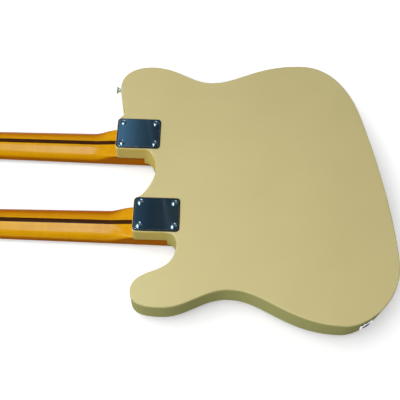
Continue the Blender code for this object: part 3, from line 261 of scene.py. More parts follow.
def board_material(name, stops):
    """Paint that only glows, in colours that change from left to right."""
    material = bpy.data.materials.new(name)
    material.use_nodes = True
    tree = material.node_tree
    shader = tree.nodes["Principled BSDF"]
    shader.inputs["Base Color"].default_value = (0.0, 0.0, 0.0, 1.0)
    shader.inputs["Roughness"].default_value = 1.0
    shader.inputs["Specular IOR Level"].default_value = 0.0
    shader.inputs["Emission Strength"].default_value = 1.0
    place = tree.nodes.new("ShaderNodeTexCoord")
    split = tree.nodes.new("ShaderNodeSeparateXYZ")
    tree.links.new(place.outputs["Object"], split.inputs[0])
    span = tree.nodes.new("ShaderNodeMapRange")
    span.inputs["From Min"].default_value = stops[0][0]
    span.inputs["From Max"].default_value = stops[-1][0]
    tree.links.new(split.outputs["X"], span.inputs["Value"])
    ramp = tree.nodes.new("ShaderNodeValToRGB")
    tree.links.new(span.outputs["Result"], ramp.inputs["Fac"])
    while len(ramp.color_ramp.elements) < len(stops):
        ramp.color_ramp.elements.new(0.5)
    for element, (x, color) in zip(ramp.color_ramp.elements, stops):
        element.position = (x - stops[0][0]) / (stops[-1][0] - stops[0][0])
        element.color = (*color, 1.0)
    tree.links.new(ramp.outputs["Color"], shader.inputs["Emission Color"])
    return material


def board(name, corners, material):
    """A studio sheet that only reflections see."""
    surface = sheet(name, corners, material)
    surface.visible_camera = False
    surface.visible_diffuse = False
    surface.visible_shadow = False
    return surface


for place in ((-1.25, 0.25, -1.25, 0.20, 23.0), (-1.0, -0.22, -0.80, 0.40, 6.0)):
    lamp("lamp", *place).visible_glossy = False

blue_grey = board_material(
    "blue_grey_board",
    [(-0.42, (0.066, 0.160, 0.260)), (-0.11, (0.061, 0.150, 0.252)), (-0.04, (0.031, 0.073, 0.112)), (0.03, DARK),
     (0.12, (0.0215, 0.037, 0.048)), (0.5, (0.0215, 0.037, 0.048))],
)
dim = board_material("dim_board", [(-2.6, (0.03, 0.035, 0.04)), (2.6, (0.02, 0.025, 0.03))])
pale = board_material("pale_board", [(-1.0, (0.045, 0.075, 0.105)), (1.0, (0.045, 0.075, 0.105))])
bright = board_material("bright_board", [(-1.0, (1.4, 1.45, 1.5)), (1.0, (1.4, 1.45, 1.5))])
# The glowing sheet over the necks lights nothing; it is a painted reflection, the pale glow along the amber lacquer.
reflected_glow_sheet = board_material("reflected_glow_sheet", [(-0.66, (1.7, 2.9, 3.1)), (-0.33, (3.0, 5.2, 5.9)), (-0.12, (3.5, 6.0, 6.8))])
grey = board_material("grey_board", [(-2.2, (0.35, 0.38, 0.40)), (-1.1, (0.35, 0.38, 0.40))])
ROOM = 2.6
high = BOARD_HEIGHT
board("ceiling_board", [(-ROOM, -ROOM, high), (ROOM, -ROOM, high), (ROOM, ROOM, high), (-ROOM, ROOM, high)], blue_grey)
for name, (x0, y0), (x1, y1) in (
    ("south_board", (-ROOM, -ROOM), (ROOM, -ROOM)),
    ("east_board", (ROOM, -ROOM), (ROOM, ROOM)),
    ("north_board", (ROOM, ROOM), (-ROOM, ROOM)),
    ("west_board", (-ROOM, ROOM), (-ROOM, -ROOM)),
):
    board(name, [(x0, y0, 0.02), (x1, y1, 0.02), (x1, y1, high), (x0, y0, high)], dim)
high = BOARD_HEIGHT - 0.01
# Glowing sheet seen only in reflections: the painted reflection along the necks.
board("reflected_glow_sheet", [(-0.66, -1.0, high), (-0.12, -1.0, high), (-0.12, 0.50, high), (-0.66, 0.50, high)], reflected_glow_sheet)
board("west_strip", [(-2.58, -1.2, high), (-1.1, -1.2, high), (-1.1, 0.35, high), (-2.58, 0.35, high)], grey)
board("pale_strip", [(-0.014, 1.19, high), (-0.004, 1.19, high), (0.146, 0.50, high), (0.136, 0.50, high)], pale)
board("right_strip", [(0.30, 0.55, high), (0.42, 0.55, high), (0.42, 1.30, high), (0.30, 1.30, high)], bright)
board("middle_strip", [(-0.20, 0.42, high), (0.30, 0.42, high), (0.30, 0.50, high), (-0.20, 0.50, high)], bright)
print("lamps:", ", ".join(item.name for item in bpy.data.lights))

# %% [markdown]
# The new pieces are made from a few plain shapes. A skin joins rings of points, a lathe
# turns a profile about Z, a slab has rounded rims, and a sweep drags a circle along a
# path. Each is an ordinary closed mesh, so cutting, joining and shading work on all.

# %% Shapes from rings of points


def mesh_of(work):
    """Turn a bmesh into a mesh whose faces point out."""
    bmesh.ops.recalc_face_normals(work, faces=work.faces[:])
    mesh = bpy.data.meshes.new("shape")
    work.to_mesh(mesh)
    work.free()
    return mesh


def skin(rings, hollow=False):
    """Mesh through rings of points, capped at both ends, or joined back to its first ring if hollow."""
    work = bmesh.new()
    loops = [[work.verts.new(point) for point in ring] for ring in rings]
    pairs = list(zip(loops[:-1], loops[1:]))
    if hollow:
        pairs.append((loops[-1], loops[0]))
    else:
        work.faces.new(loops[0])
        work.faces.new(loops[-1])
    for near, far in pairs:
        for index in range(len(near)):
            after = (index + 1) % len(near)
            work.faces.new((near[index], near[after], far[after], far[index]))
    return mesh_of(work)


def circle(radius, sides, squash=1.0):
    """Points round a circle, or round an ellipse where squash isn't 1."""
    turns = [2 * math.pi * side / sides for side in range(sides)]
    return [(radius * math.cos(turn), radius * squash * math.sin(turn)) for turn in turns]


def lathe(profile, sides=32, hollow=False):
    """Solid of revolution about Z from (radius, level) points; a hollow one's profile is a closed line."""
    return skin([[(x, y, level) for x, y in circle(radius, sides)] for radius, level in profile], hollow)


def rounded_rectangle(length, width, radius, steps=8):
    """Outline of a rectangle round the origin, with round corners."""
    outline = []
    for quarter, (x, y) in enumerate(((1, 1), (-1, 1), (-1, -1), (1, -1))):
        middle_x, middle_y = x * (length / 2 - radius), y * (width / 2 - radius)
        for step in range(steps + 1):
            turn = math.pi / 2 * (quarter + step / steps)
            outline.append((middle_x + radius * math.cos(turn), middle_y + radius * math.sin(turn)))
    return outline


def inset(outline, depth):
    """The outline moved inwards; it runs anticlockwise."""
    moved = []
    for index, point in enumerate(outline):
        here = Vector(point)
        arrive = (here - Vector(outline[index - 1])).normalized()
        leave = (Vector(outline[(index + 1) % len(outline)]) - here).normalized()
        along = (arrive + leave).normalized()
        reach = depth / max(along.dot(leave), 0.5)
        moved.append((here.x - along.y * reach, here.y + along.x * reach))
    return moved


def slab(outline, low, high, low_rim=0.0, high_rim=0.0, steps=4):
    """Plate between two levels whose rims are rounded over."""
    rings = []
    for rim, level, way in ((low_rim, low, 1), (high_rim, high, -1)):
        arc = []
        for step in range(steps + 1) if rim else [steps]:
            turn = math.pi / 2 * step / steps
            rise = level + way * rim * (1 - math.cos(turn))
            arc.append([(x, y, rise) for x, y in inset(outline, rim * (1 - math.sin(turn)))])
        rings += arc if way == 1 else arc[::-1]
    return skin(rings)


def sweep(path, radius, sides=10):
    """Round bar along a path, twisted as little as possible from ring to ring."""
    points = [Vector(point) for point in path]
    rings = []
    across = None
    for index, point in enumerate(points):
        ahead = (points[min(index + 1, len(points) - 1)] - points[max(index - 1, 0)]).normalized()
        start = across or ahead.orthogonal()
        across = (start - ahead * start.dot(ahead)).normalized()
        other = ahead.cross(across)
        rings.append([point + across * x + other * y for x, y in circle(radius, sides)])
    return skin(rings)


print("a test lathe has", len(lathe([(2, 0), (2, 5)], 8).polygons), "faces")

# %% [markdown]
# Two tools put shapes together: "carved" cuts one shape out of another with an exact
# Boolean, and "joined" makes one mesh of several. Small things that come in numbers,
# such as screws and frets, are joined, because one piece is easier to handle than ten.

# %% Cutting and joining


def turned_about(axis, degrees):
    """Rotation about one axis."""
    return Matrix.Rotation(math.radians(degrees), 4, axis)


def moved_to(x, y, z=0.0):
    """Shift to a place."""
    return Matrix.Translation((x, y, z))


UPSIDE_DOWN = turned_about("X", 180)


def placed(mesh, matrix):
    """A copy of the mesh in another place."""
    copy = mesh.copy()
    copy.transform(matrix)
    return copy


def carved(mesh, *cutters):
    """The mesh without the space of the cutters."""
    holders = []
    for shape in (mesh, *cutters):
        holder = bpy.data.objects.new("carving", shape)
        bpy.context.scene.collection.objects.link(holder)
        holders.append(holder)
    for cutter in holders[1:]:
        modifier = holders[0].modifiers.new("cut", "BOOLEAN")
        modifier.operation = "DIFFERENCE"
        modifier.solver = "EXACT"
        modifier.object = cutter
    bpy.context.view_layer.update()
    graph = bpy.context.evaluated_depsgraph_get()
    result = bpy.data.meshes.new_from_object(holders[0].evaluated_get(graph))
    for holder in holders:
        bpy.data.objects.remove(holder, do_unlink=True)
    return result


def joined(shapes):
    """One mesh made of several."""
    work = bmesh.new()
    for shape in shapes:
        work.from_mesh(shape)
    return mesh_of(work)


def at_places(shape, places):
    """One mesh with a copy of the shape at each place."""
    return joined([placed(shape, moved_to(*place)) for place in places])


# %% [markdown]
# Screws hold most of this guitar together, and they all have a domed head with a cross
# cut in it. The cross is two tapered bars, cut out of the dome. We make the head once
# for each size and place copies.

# %% Screw heads


def screw_head(radius, height, steps=7, cut=0.62):
    """Domed head about Z, its underside at level 0, with a cross cut in its top."""
    profile = []
    for step in range(steps + 1):
        turn = math.pi / 2 * step / steps
        profile.append((max(radius * math.cos(turn) ** 0.8, radius * 0.08), height * (0.3 + 0.7 * math.sin(turn))))
    dome = lathe([(radius, -0.2)] + profile, 32)
    slot = radius * cut * 0.26
    reach = radius * cut
    bars = []
    for turn in (0, 90):
        bar = skin([
            [(-reach * 0.55, -slot * 0.6, height * 0.35), (reach * 0.55, -slot * 0.6, height * 0.35),
             (reach * 0.55, slot * 0.6, height * 0.35), (-reach * 0.55, slot * 0.6, height * 0.35)],
            [(-reach, -slot, height + 0.4), (reach, -slot, height + 0.4),
             (reach, slot, height + 0.4), (-reach, slot, height + 0.4)],
        ])
        bars.append(placed(bar, turned_about("Z", turn)))
    return carved(dome, *bars)


small_screw = screw_head(2.4, 1.0)
neck_screw = screw_head(4.0, 2.1, 12, 0.40)
print("a screw head has", len(neck_screw.polygons), "faces")

# %% [markdown]
# Two effects come back in several finishes, so each is built once as a node group.
# "uneven" is a slow cloud and a fine speck that keep a large painted or plated face from
# looking like plain card. "long grain" is noise stretched along the guitar, which is how
# maple and walnut show their growth rings when a neck is sawn lengthwise.

# %% Node groups for the finishes


def new_group(name, inputs, outputs):
    """Start a shader node group with named number sockets."""
    group = bpy.data.node_groups.new(name, "ShaderNodeTree")
    for label, value in inputs:
        group.interface.new_socket(label, in_out="INPUT", socket_type="NodeSocketFloat").default_value = value
    for label in outputs:
        group.interface.new_socket(label, in_out="OUTPUT", socket_type="NodeSocketFloat")
    return group, group.nodes.new("NodeGroupInput"), group.nodes.new("NodeGroupOutput")


def noise(tree, vector, scale, detail=3.0, distortion=0.0):
    """Add a noise texture, whose scale is a number or a link, and return its value."""
    node = tree.nodes.new("ShaderNodeTexNoise")
    node.inputs["Detail"].default_value = detail
    node.inputs["Distortion"].default_value = distortion
    if isinstance(scale, (int, float)):
        node.inputs["Scale"].default_value = scale
    else:
        tree.links.new(scale, node.inputs["Scale"])
    tree.links.new(vector, node.inputs["Vector"])
    return node.outputs["Fac"]


def object_place(tree):
    """The place on the object, in metres."""
    return tree.nodes.new("ShaderNodeTexCoord").outputs["Object"]


def stretched(tree, vector, scale):
    """Scale a texture's coordinates unevenly."""
    node = tree.nodes.new("ShaderNodeMapping")
    node.inputs["Scale"].default_value = scale
    tree.links.new(vector, node.inputs["Vector"])
    return node.outputs["Vector"]


uneven, start, end = new_group("uneven", [("Cloud Scale", 9.0), ("Speck Scale", 900.0)], ["Cloud", "Speck"])
place = object_place(uneven)
for label, detail in (("Cloud", 4.0), ("Speck", 2.0)):
    value = noise(uneven, place, start.outputs[f"{label} Scale"], detail)
    uneven.links.new(value, end.inputs[label])

long_grain, start, end = new_group(
    "long grain", [("Ring Scale", 160.0), ("Flame Scale", 60.0), ("Pore Scale", 1500.0)], ["Rings", "Flame", "Pores"]
)
place = object_place(long_grain)
for label, squeeze, detail, distortion in (
    ("Ring", (0.045, 1.0, 1.0), 5.0, 0.6),
    ("Flame", (1.0, 0.22, 0.22), 2.0, 1.2),
    ("Pore", (0.03, 1.0, 1.0), 2.0, 0.0),
):
    along = stretched(long_grain, place, squeeze)
    value = noise(long_grain, along, start.outputs[f"{label} Scale"], detail, distortion)
    long_grain.links.new(value, end.inputs[label if label == "Flame" else f"{label}s"])
print("node groups:", uneven.name, "and", long_grain.name)

# %% [markdown]
# Each finish is one function. Cream lacquer is opaque, so its colour only drifts a little, but its upright faces are
# painted a greener tint as painted shade, and warmer and brighter beside the necks as painted bounce light. Maple under
# amber lacquer is painted darker and redder where its surface turns away from the flat back, and on its north-facing
# side: painted shade, together with the deeper amber that more lacquer gives on the carved sides. Plating is pure metal
# whose roughness wanders, as fingers and cloths leave it.

# %% Finishes


def new_material(name, color, roughness, metallic=0.0, specular=0.5):
    """Start a material and return it with its tree and its shader."""
    material = bpy.data.materials.new(name)
    material.use_nodes = True
    shader = material.node_tree.nodes["Principled BSDF"]
    shader.inputs["Base Color"].default_value = (*color, 1.0)
    shader.inputs["Roughness"].default_value = roughness
    shader.inputs["Metallic"].default_value = metallic
    shader.inputs["Specular IOR Level"].default_value = specular
    return material, material.node_tree, shader


def use_group(tree, group, **values):
    """Place a node group in a material with its own values."""
    node = tree.nodes.new("ShaderNodeGroup")
    node.node_tree = group
    for label, value in values.items():
        node.inputs[label.replace("_", " ")].default_value = value
    return node.outputs


def bump(tree, shader, height, distance):
    """Feed a height into the shader's normal."""
    node = tree.nodes.new("ShaderNodeBump")
    node.inputs["Strength"].default_value = 1.0
    node.inputs["Distance"].default_value = distance
    tree.links.new(height, node.inputs["Height"])
    tree.links.new(node.outputs["Normal"], shader.inputs["Normal"])


def flatness(tree):
    """1 where the surface lies level, 0 where it stands upright."""
    split = tree.nodes.new("ShaderNodeSeparateXYZ")
    tree.links.new(tree.nodes.new("ShaderNodeTexCoord").outputs["Normal"], split.inputs[0])
    return math_node(tree, "ABSOLUTE", split.outputs["Z"])


def lacquer_finish(name, dark, light, upright, painted_bounce_by_necks):
    """Opaque cream lacquer; its upright faces carry painted shade, a greener tint, and those beside the necks painted
    bounce light, warmer and brighter.
    """
    material, tree, shader = new_material(name, light, 0.3)
    clouds = use_group(tree, uneven, Cloud_Scale=9.0, Speck_Scale=420.0)
    gloss = spread(tree, flatness(tree), 0.0, 0.35, 0.2, 0.7)
    tree.links.new(gloss, shader.inputs["Specular IOR Level"])
    flat = mix_color(tree, spread(tree, clouds["Cloud"], 0.0, 1.0), dark, light)
    split = tree.nodes.new("ShaderNodeSeparateXYZ")
    tree.links.new(object_place(tree), split.inputs[0])
    # Upright faces west of x 0.15 m and north of y -0.13 m, the walls beside the necks, are painted warmer and brighter
    # as painted bounce light.
    west = spread(tree, split.outputs["X"], 1.0, 0.0, 0.150, 0.185)
    north = spread(tree, split.outputs["Y"], 0.0, 1.0, -0.160, -0.130)
    edge = mix_color(tree, math_node(tree, "MULTIPLY", west, north), upright, painted_bounce_by_necks)
    # The upright colour is painted shade on the walls of the slab.
    tree.links.new(mix_color(tree, flatness(tree), edge, flat), shader.inputs["Base Color"])
    tree.links.new(spread(tree, clouds["Cloud"], 0.29, 0.35), shader.inputs["Roughness"])
    bump(tree, shader, clouds["Speck"], 0.00002)
    return material


def maple_finish(name, dark, light, flame_tint, side, painted_north_shade):
    """Flamed maple under amber gloss lacquer, painted darker and redder on its steep sides and its north-facing side as
    painted shade.
    """
    material, tree, shader = new_material(name, light, 0.3, specular=0.0)
    grain = use_group(tree, long_grain, Ring_Scale=150.0, Flame_Scale=55.0, Pore_Scale=1500.0)
    wood = mix_color(tree, spread(tree, grain["Rings"], 0.0, 1.0), dark, light)
    wood = mix_color(tree, spread(tree, grain["Flame"], 0.0, 0.5), wood, flame_tint)
    # Steep faces turn to the side colour, a little darker in the rings: painted shade on the carved sides, together
    # with the deeper amber that more lacquer gives there.
    steep = spread(tree, flatness(tree), 1.0, 0.0, 0.1, 0.5)
    shaded = mix_color(tree, spread(tree, grain["Rings"], 0.75, 1.0), (0.0, 0.0, 0.0), side)
    # North-facing faces turn to a darker, redder colour as painted shade.
    split = tree.nodes.new("ShaderNodeSeparateXYZ")
    tree.links.new(tree.nodes.new("ShaderNodeTexCoord").outputs["Normal"], split.inputs[0])
    wood = mix_color(tree, spread(tree, split.outputs["Y"], 0.0, 1.0, 0.03, 0.62), wood, painted_north_shade)
    tree.links.new(mix_color(tree, steep, wood, shaded), shader.inputs["Base Color"])
    tree.links.new(spread(tree, grain["Pores"], 0.15, 0.24), shader.inputs["Roughness"])
    tree.links.new(spread(tree, flatness(tree), 0.05, 0.5, 0.3, 0.7), shader.inputs["Coat Weight"])
    shader.inputs["Coat Roughness"].default_value = 0.12
    bump(tree, shader, grain["Pores"], 0.00001)
    return material


def walnut_finish(name, dark, light):
    """Dark straight-grained wood under the same gloss."""
    material, tree, shader = new_material(name, light, 0.25, specular=0.0)
    grain = use_group(tree, long_grain, Ring_Scale=420.0, Flame_Scale=40.0, Pore_Scale=1500.0)
    tree.links.new(mix_color(tree, spread(tree, grain["Rings"], 0.0, 1.0), dark, light), shader.inputs["Base Color"])
    tree.links.new(spread(tree, grain["Pores"], 0.29, 0.38), shader.inputs["Roughness"])
    shader.inputs["Coat Weight"].default_value = 0.5
    shader.inputs["Coat Roughness"].default_value = 0.08
    bump(tree, shader, grain["Pores"], 0.00003)
    return material


def plating_finish(name, color, low, high, cloud=40.0):
    """Polished metal with faint wipe marks."""
    material, tree, shader = new_material(name, color, low, 1.0)
    clouds = use_group(tree, uneven, Cloud_Scale=cloud, Speck_Scale=1600.0)
    tree.links.new(spread(tree, clouds["Cloud"], low, high), shader.inputs["Roughness"])
    darker = tuple(channel * 0.94 for channel in color)
    tree.links.new(mix_color(tree, spread(tree, clouds["Speck"], 0.0, 1.0), darker, color), shader.inputs["Base Color"])
    return material


def painted_shade_plating(name, color, painted_dark, middle, reach):
    """Plating painted dark, and not metal, nearer to a middle than a reach in millimetres: painted shade in a hollow.
    """
    material, tree, shader = new_material(name, color, 0.05, specular=0.0)
    clouds = use_group(tree, uneven, Cloud_Scale=60.0, Speck_Scale=1600.0)
    away = tree.nodes.new("ShaderNodeVectorMath")
    away.operation = "DISTANCE"
    away.inputs[1].default_value = Vector(middle) * MM
    tree.links.new(object_place(tree), away.inputs[0])
    kept = spread(tree, away.outputs["Value"], 0.0, 1.0, (reach - 0.2) * MM, (reach + 0.2) * MM)
    dark = mix_color(tree, spread(tree, clouds["Speck"], 0.0, 1.0), painted_dark, tuple(channel * 1.4 for channel in painted_dark))
    tree.links.new(mix_color(tree, kept, dark, color), shader.inputs["Base Color"])
    tree.links.new(kept, shader.inputs["Metallic"])
    tree.links.new(spread(tree, clouds["Cloud"], 0.05, 0.12), shader.inputs["Roughness"])
    return material


def moulded_finish(name, color, low, high):
    """Moulded plastic or bone with a fine texture."""
    material, tree, shader = new_material(name, color, low)
    clouds = use_group(tree, uneven, Cloud_Scale=60.0, Speck_Scale=2200.0)
    tree.links.new(spread(tree, clouds["Cloud"], low, high), shader.inputs["Roughness"])
    darker = tuple(channel * 0.88 for channel in color)
    tree.links.new(mix_color(tree, spread(tree, clouds["Cloud"], 0.0, 1.0), darker, color), shader.inputs["Base Color"])
    bump(tree, shader, clouds["Speck"], 0.00001)
    return material


finishes = {
    # The cream lacquer's third colour is painted shade on its upright faces, and its fourth is painted bounce light on
    # the walls beside the necks.
    "lacquer": lacquer_finish("cream_lacquer", (0.632, 0.545, 0.253), (0.660, 0.570, 0.265), (0.590, 0.580, 0.225), (0.785, 0.64, 0.187)),
    # The maple's fourth colour is painted shade on its steep sides, and its fifth is painted shade on its north-facing
    # side.
    "maple": maple_finish("amber_maple", (0.615, 0.26, 0.0), (0.725, 0.345, 0.0), (0.77, 0.40, 0.001), (0.66, 0.20, 0.0), (0.42, 0.088, 0.0)),
    "walnut": walnut_finish("walnut_strip", (0.036, 0.010, 0.0), (0.060, 0.018, 0.0)),
    "bone": moulded_finish("bone_nut", (0.78, 0.73, 0.58), 0.3, 0.42),
    "steel": plating_finish("plain_steel", (0.55, 0.55, 0.56), 0.29, 0.36),
    "chrome": plating_finish("chrome_plate", (0.86, 0.87, 0.89), 0.03, 0.07),
    "brass": plating_finish("turned_brass", (0.78, 0.56, 0.26), 0.29, 0.34),
    "black_plastic": moulded_finish("black_plastic", (0.018, 0.018, 0.019), 0.18, 0.26),
}
print("finishes:", ", ".join(finishes))

# %% [markdown]
# "show" hands a mesh over to the scene: it turns millimetres into metres, shades the
# curved parts smooth while edges stay crisp, and lets the piece ride on the body of the
# solid that it stands for. Weighted normals keep a large flat face flat where it meets
# a rounded edge.

# %% Showing a piece
SMOOTH_UP_TO = math.radians(40)


def show(name, mesh, finish, stands_for=(), body=None, at=(0.0, 0.0, 0.0), turn=(0.0, 0.0, 0.0)):
    """Put a mesh made in millimetres into the scene as one piece of the guitar."""
    if "shown" not in mesh:
        mesh["shown"] = True
        mesh.transform(Matrix.Scale(MM, 4))
        mesh.shade_smooth()
        mesh.set_sharp_from_angle(angle=SMOOTH_UP_TO)
        mesh.materials.clear()
        mesh.materials.append(finishes[finish])
    piece = bpy.data.objects.new(name, mesh)
    bpy.context.scene.collection.objects.link(piece)
    piece.location = Vector(at) * MM
    piece.rotation_euler = turn
    weighted = piece.modifiers.new("weighted", "WEIGHTED_NORMAL")
    weighted.keep_sharp = True
    weighted.weight = 90
    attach(piece, body or nodes[stands_for[0]]["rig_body"])
    if stands_for:
        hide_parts(*stands_for)
    return piece


def bevelled_copy(node, finish, width, steps=2):
    """A copy of a solid whose sharp edges are rounded a little."""
    mesh = nodes[node].data.copy()
    work = bmesh.new()
    work.from_mesh(mesh)
    bmesh.ops.remove_doubles(work, verts=work.verts[:], dist=0.002 * MM)
    bmesh.ops.dissolve_limit(work, angle_limit=math.radians(0.2), verts=work.verts[:], edges=work.edges[:])
    work.to_mesh(mesh)
    work.free()
    mesh.transform(Matrix.Scale(1 / MM, 4))
    piece = show(f"{node}_shown", mesh, finish, [node])
    if width:
        bevel = piece.modifiers.new("bevel", "BEVEL")
        bevel.width = width * MM
        bevel.segments = steps
        bevel.angle_limit = math.radians(30)
        piece.modifiers.move(1, 0)
    return piece


print("pieces turn smooth below", round(math.degrees(SMOOTH_UP_TO)), "degrees")

# %% [markdown]
# The body is one slab of wood, so it is one outline with rounded rims. The outline runs
# through a few anchors: each has a place beside its neck, a heading in degrees, and the
# lengths of the curve's handles before and after it, as in a drawing program. Smooth
# curves through few anchors give the long clean edge that many small corners would not.

# %% Outline of the body
HEEL_BLOCK_REACH = 34.4
HEEL_BLOCK_TREBLE = 28.0
HEEL_BLOCK_BASS = 25.0
HEEL_BLOCK_RADIUS = 4.5
HORN_SIDE = ("upper", -34.4, 92.5, 90.0, 23.3, 21.0)
HORN_TOP = ("upper", 16.3, 133.0, 0.0, 34.3, 41.0)
TAIL = ("lower", 343.8, -56.5, -90.0, 102.0, 64.8)
LOWER_BOUT = ("lower", 259.6, -157.5, 180.0, 27.8, 77.0)
BODY_OUTER = [
    ("upper", -24.0, 38.0, 98.0, 0.0, 10.0),
    HORN_SIDE,
    HORN_TOP,
    ("upper", 108.8, 104.4, 0.0, 29.6, 44.4),
    ("upper", 260.9, 145.5, 0.0, 76.8, 64.0),
    ("upper", 347.3, 53.1, -76.3, 13.5, 34.0),
    TAIL,
    LOWER_BOUT,
    ("lower", 104.5, -111.0, 180.0, 50.0, 35.0),
    ("lower", 12.5, -138.5, 180.0, 34.0, 27.0),
    ("lower", -30.5, -114.5, 90.0, 20.0, 17.0),
    ("lower", 1.0, -85.0, 21.0, 15.0, 18.0),
    ("lower", 29.5, -46.0, 90.0, 22.0, 12.0),
    ("lower", 10.5, -HEEL_BLOCK_TREBLE, 180.0, 14.0, 0.0),
]
BODY_BETWEEN = [
    ("lower", -24.6, 31.5, 46.0, 0.0, 11.6),
    ("upper", 28.9, -63.8, 90.0, 16.0, 12.0),
    ("upper", 10.5, -HEEL_BLOCK_TREBLE, 180.0, 13.0, 0.0),
]
CURVE_STEPS = 26


def anchor_place(anchor):
    """Place of an anchor on the table."""
    return (NECKS[anchor[0]] + Vector((anchor[1], anchor[2], 0))).to_2d()


def curve_point(start, end, share):
    """Point and heading on the curve from one anchor to the next."""
    leave, arrive = (Vector((math.cos(math.radians(anchor[3])), math.sin(math.radians(anchor[3])))) for anchor in (start, end))
    first, last = anchor_place(start), anchor_place(end)
    second = first + leave * start[5]
    third = last - arrive * end[4]
    rest = 1 - share
    point = first * rest**3 + second * 3 * rest**2 * share + third * 3 * rest * share**2 + last * share**3
    heading = (second - first) * rest**2 + (third - second) * 2 * rest * share + (last - third) * share**2
    return point, heading.normalized()


def corner_arc(before, corner, after, radius, steps=6):
    """Points of the arc that rounds one corner."""
    back, ahead = (before - corner).normalized(), (after - corner).normalized()
    half_angle = back.angle(ahead) / 2
    middle = corner + (back + ahead).normalized() * (radius / math.sin(half_angle))
    reach = radius / math.tan(half_angle)
    first, last = corner + back * reach - middle, corner + ahead * reach - middle
    swing = first.angle_signed(last)
    return [tuple(middle + Matrix.Rotation(-swing * step / steps, 2) @ first) for step in range(steps + 1)]


def smooth_line(anchors):
    """Points of the smooth line through all the anchors."""
    line = []
    for start, end in zip(anchors[:-1], anchors[1:]):
        line += [tuple(curve_point(start, end, step / CURVE_STEPS)[0]) for step in range(CURVE_STEPS)]
    return line + [tuple(anchor_place(anchors[-1]))]


def heel_block(neck, before, after):
    """The two round corners of the body's end under one neck plate."""
    place = NECKS[neck].to_2d()
    treble = place + Vector((-HEEL_BLOCK_REACH, -HEEL_BLOCK_TREBLE))
    bass = place + Vector((-HEEL_BLOCK_REACH, HEEL_BLOCK_BASS))
    arc = corner_arc(Vector(before), treble, bass, HEEL_BLOCK_RADIUS)
    return arc + corner_arc(treble, bass, Vector(after), HEEL_BLOCK_RADIUS)


outer = smooth_line(BODY_OUTER)
between = smooth_line(BODY_BETWEEN)
body_outline = outer + heel_block("lower", outer[-1], between[0])
body_outline += between + heel_block("upper", between[-1], outer[0])
body_outline.reverse()
print("the body's outline has", len(body_outline), "points")

# %% [markdown]
# Two pockets hold the necks' heels, and they are open towards the necks, so their inner
# walls show from the back beside each heel. They are cut out of the slab, together with
# the round hole for the jack in its edge and the cavities under the pickups.

# %% The body
SEAT_GAP = 0.3
BODY_ROUNDOVER = 2.4
SCALE_LENGTH = 648.0
FRET_COUNT = 21
HEEL_END = 42.0
NECK_LENGTH = SCALE_LENGTH * (1 - 2 ** (-FRET_COUNT / 12)) + 7.65
NUT_X = HEEL_END - NECK_LENGTH
SADDLE_X = NUT_X + SCALE_LENGTH
NUT_WIDTH = 40.0
HEEL_WIDTH = 53.0
HEEL_THICKNESS = 25.4
FINGERBOARD = FRONT - 9.4
HEEL_BACK = FINGERBOARD + HEEL_THICKNESS
JACK_SPOT = (TAIL, LOWER_BOUT, 0.69)
STRAP_BUTTON_SPOT = (HORN_SIDE, HORN_TOP, 0.09)
POCKET_MOUTH_ENDS = {"upper": 8.9, "lower": 15.9}
NECK_PICKUP = (19.0, 69.0, 16.0)
NECK_PICKUP_X = HEEL_END + 18.0
BRIDGE_PICKUP = (20.0, 73.0, 18.0)
BRIDGE_PICKUP_X = SADDLE_X - 27.0
BRIDGE_PICKUP_SLANT = 14.0


def neck_half_width(x):
    """Half of the fingerboard's width at a place along the neck."""
    return (NUT_WIDTH + (HEEL_WIDTH - NUT_WIDTH) * (x - NUT_X) / NECK_LENGTH) / 2


def edge_matrix(spot):
    """Turn Z so that it points straight out of the body's edge at a spot, halfway through the slab."""
    point, heading = curve_point(*spot)
    outward = Vector((-heading.y, heading.x, 0))
    turn = Vector((0, 0, 1)).rotation_difference(outward).to_matrix().to_4x4()
    return moved_to(point.x, point.y, MID_BODY) @ turn


def pocket(neck):
    """Space for one neck's heel, with its open mouth."""
    place = NECKS[neck]
    start, stop = -HEEL_BLOCK_REACH - 12, HEEL_END + SEAT_GAP
    near, far = neck_half_width(start) + SEAT_GAP, neck_half_width(stop) + SEAT_GAP
    heel = slab([(start, -near), (stop, -far), (stop, far), (start, near)], FRONT - 5, HEEL_BACK + SEAT_GAP)
    mouth_end, side = POCKET_MOUTH_ENDS[neck], -HEEL_BLOCK_TREBLE - 8
    mouth = slab([(start, side), (mouth_end, side), (mouth_end, 0), (start, 0)], FRONT - 5, HEEL_BACK + SEAT_GAP)
    return [placed(shape, Matrix.Translation(place)) for shape in (heel, mouth)]


def pickup_cavities(neck):
    """Hollows under the two pickups of one neck."""
    place = Matrix.Translation(NECKS[neck])
    slanted = moved_to(BRIDGE_PICKUP_X, 0) @ turned_about("Z", BRIDGE_PICKUP_SLANT)
    straight = slab(rounded_rectangle(22, 75, 10.9), FRONT - 5, FRONT + 18)
    wide = slab(rounded_rectangle(26, 79, 4), FRONT - 5, FRONT + 18)
    return [placed(straight, place @ moved_to(NECK_PICKUP_X, 0)), placed(wide, place @ slanted)]


blank = slab(body_outline, FRONT, BACK, BODY_ROUNDOVER, BODY_ROUNDOVER, 6)
cutters = []
for neck in NECKS:
    cutters += pocket(neck) + pickup_cavities(neck)
CONTROL_MIDDLE = NECKS["lower"] + Vector((220.5, -77.5, 0))
SELECTOR_MIDDLE = NECKS["upper"] + Vector((108.0, -70.0, 0))
cutters.append(placed(slab(rounded_rectangle(146, 27, 8), FRONT - 5, FRONT + 34), Matrix.Translation(CONTROL_MIDDLE)))
cutters.append(placed(lathe([(11, FRONT - 5), (11, FRONT + 32)]), Matrix.Translation(SELECTOR_MIDDLE)))
cutters.append(placed(lathe([(10.3, -34), (10.3, 10)], 48), edge_matrix(JACK_SPOT)))
show("body_wood", carved(blank, *cutters), "lacquer", ["body"])
print("the body's slab has", len(blank.polygons), "faces before its pockets are cut")

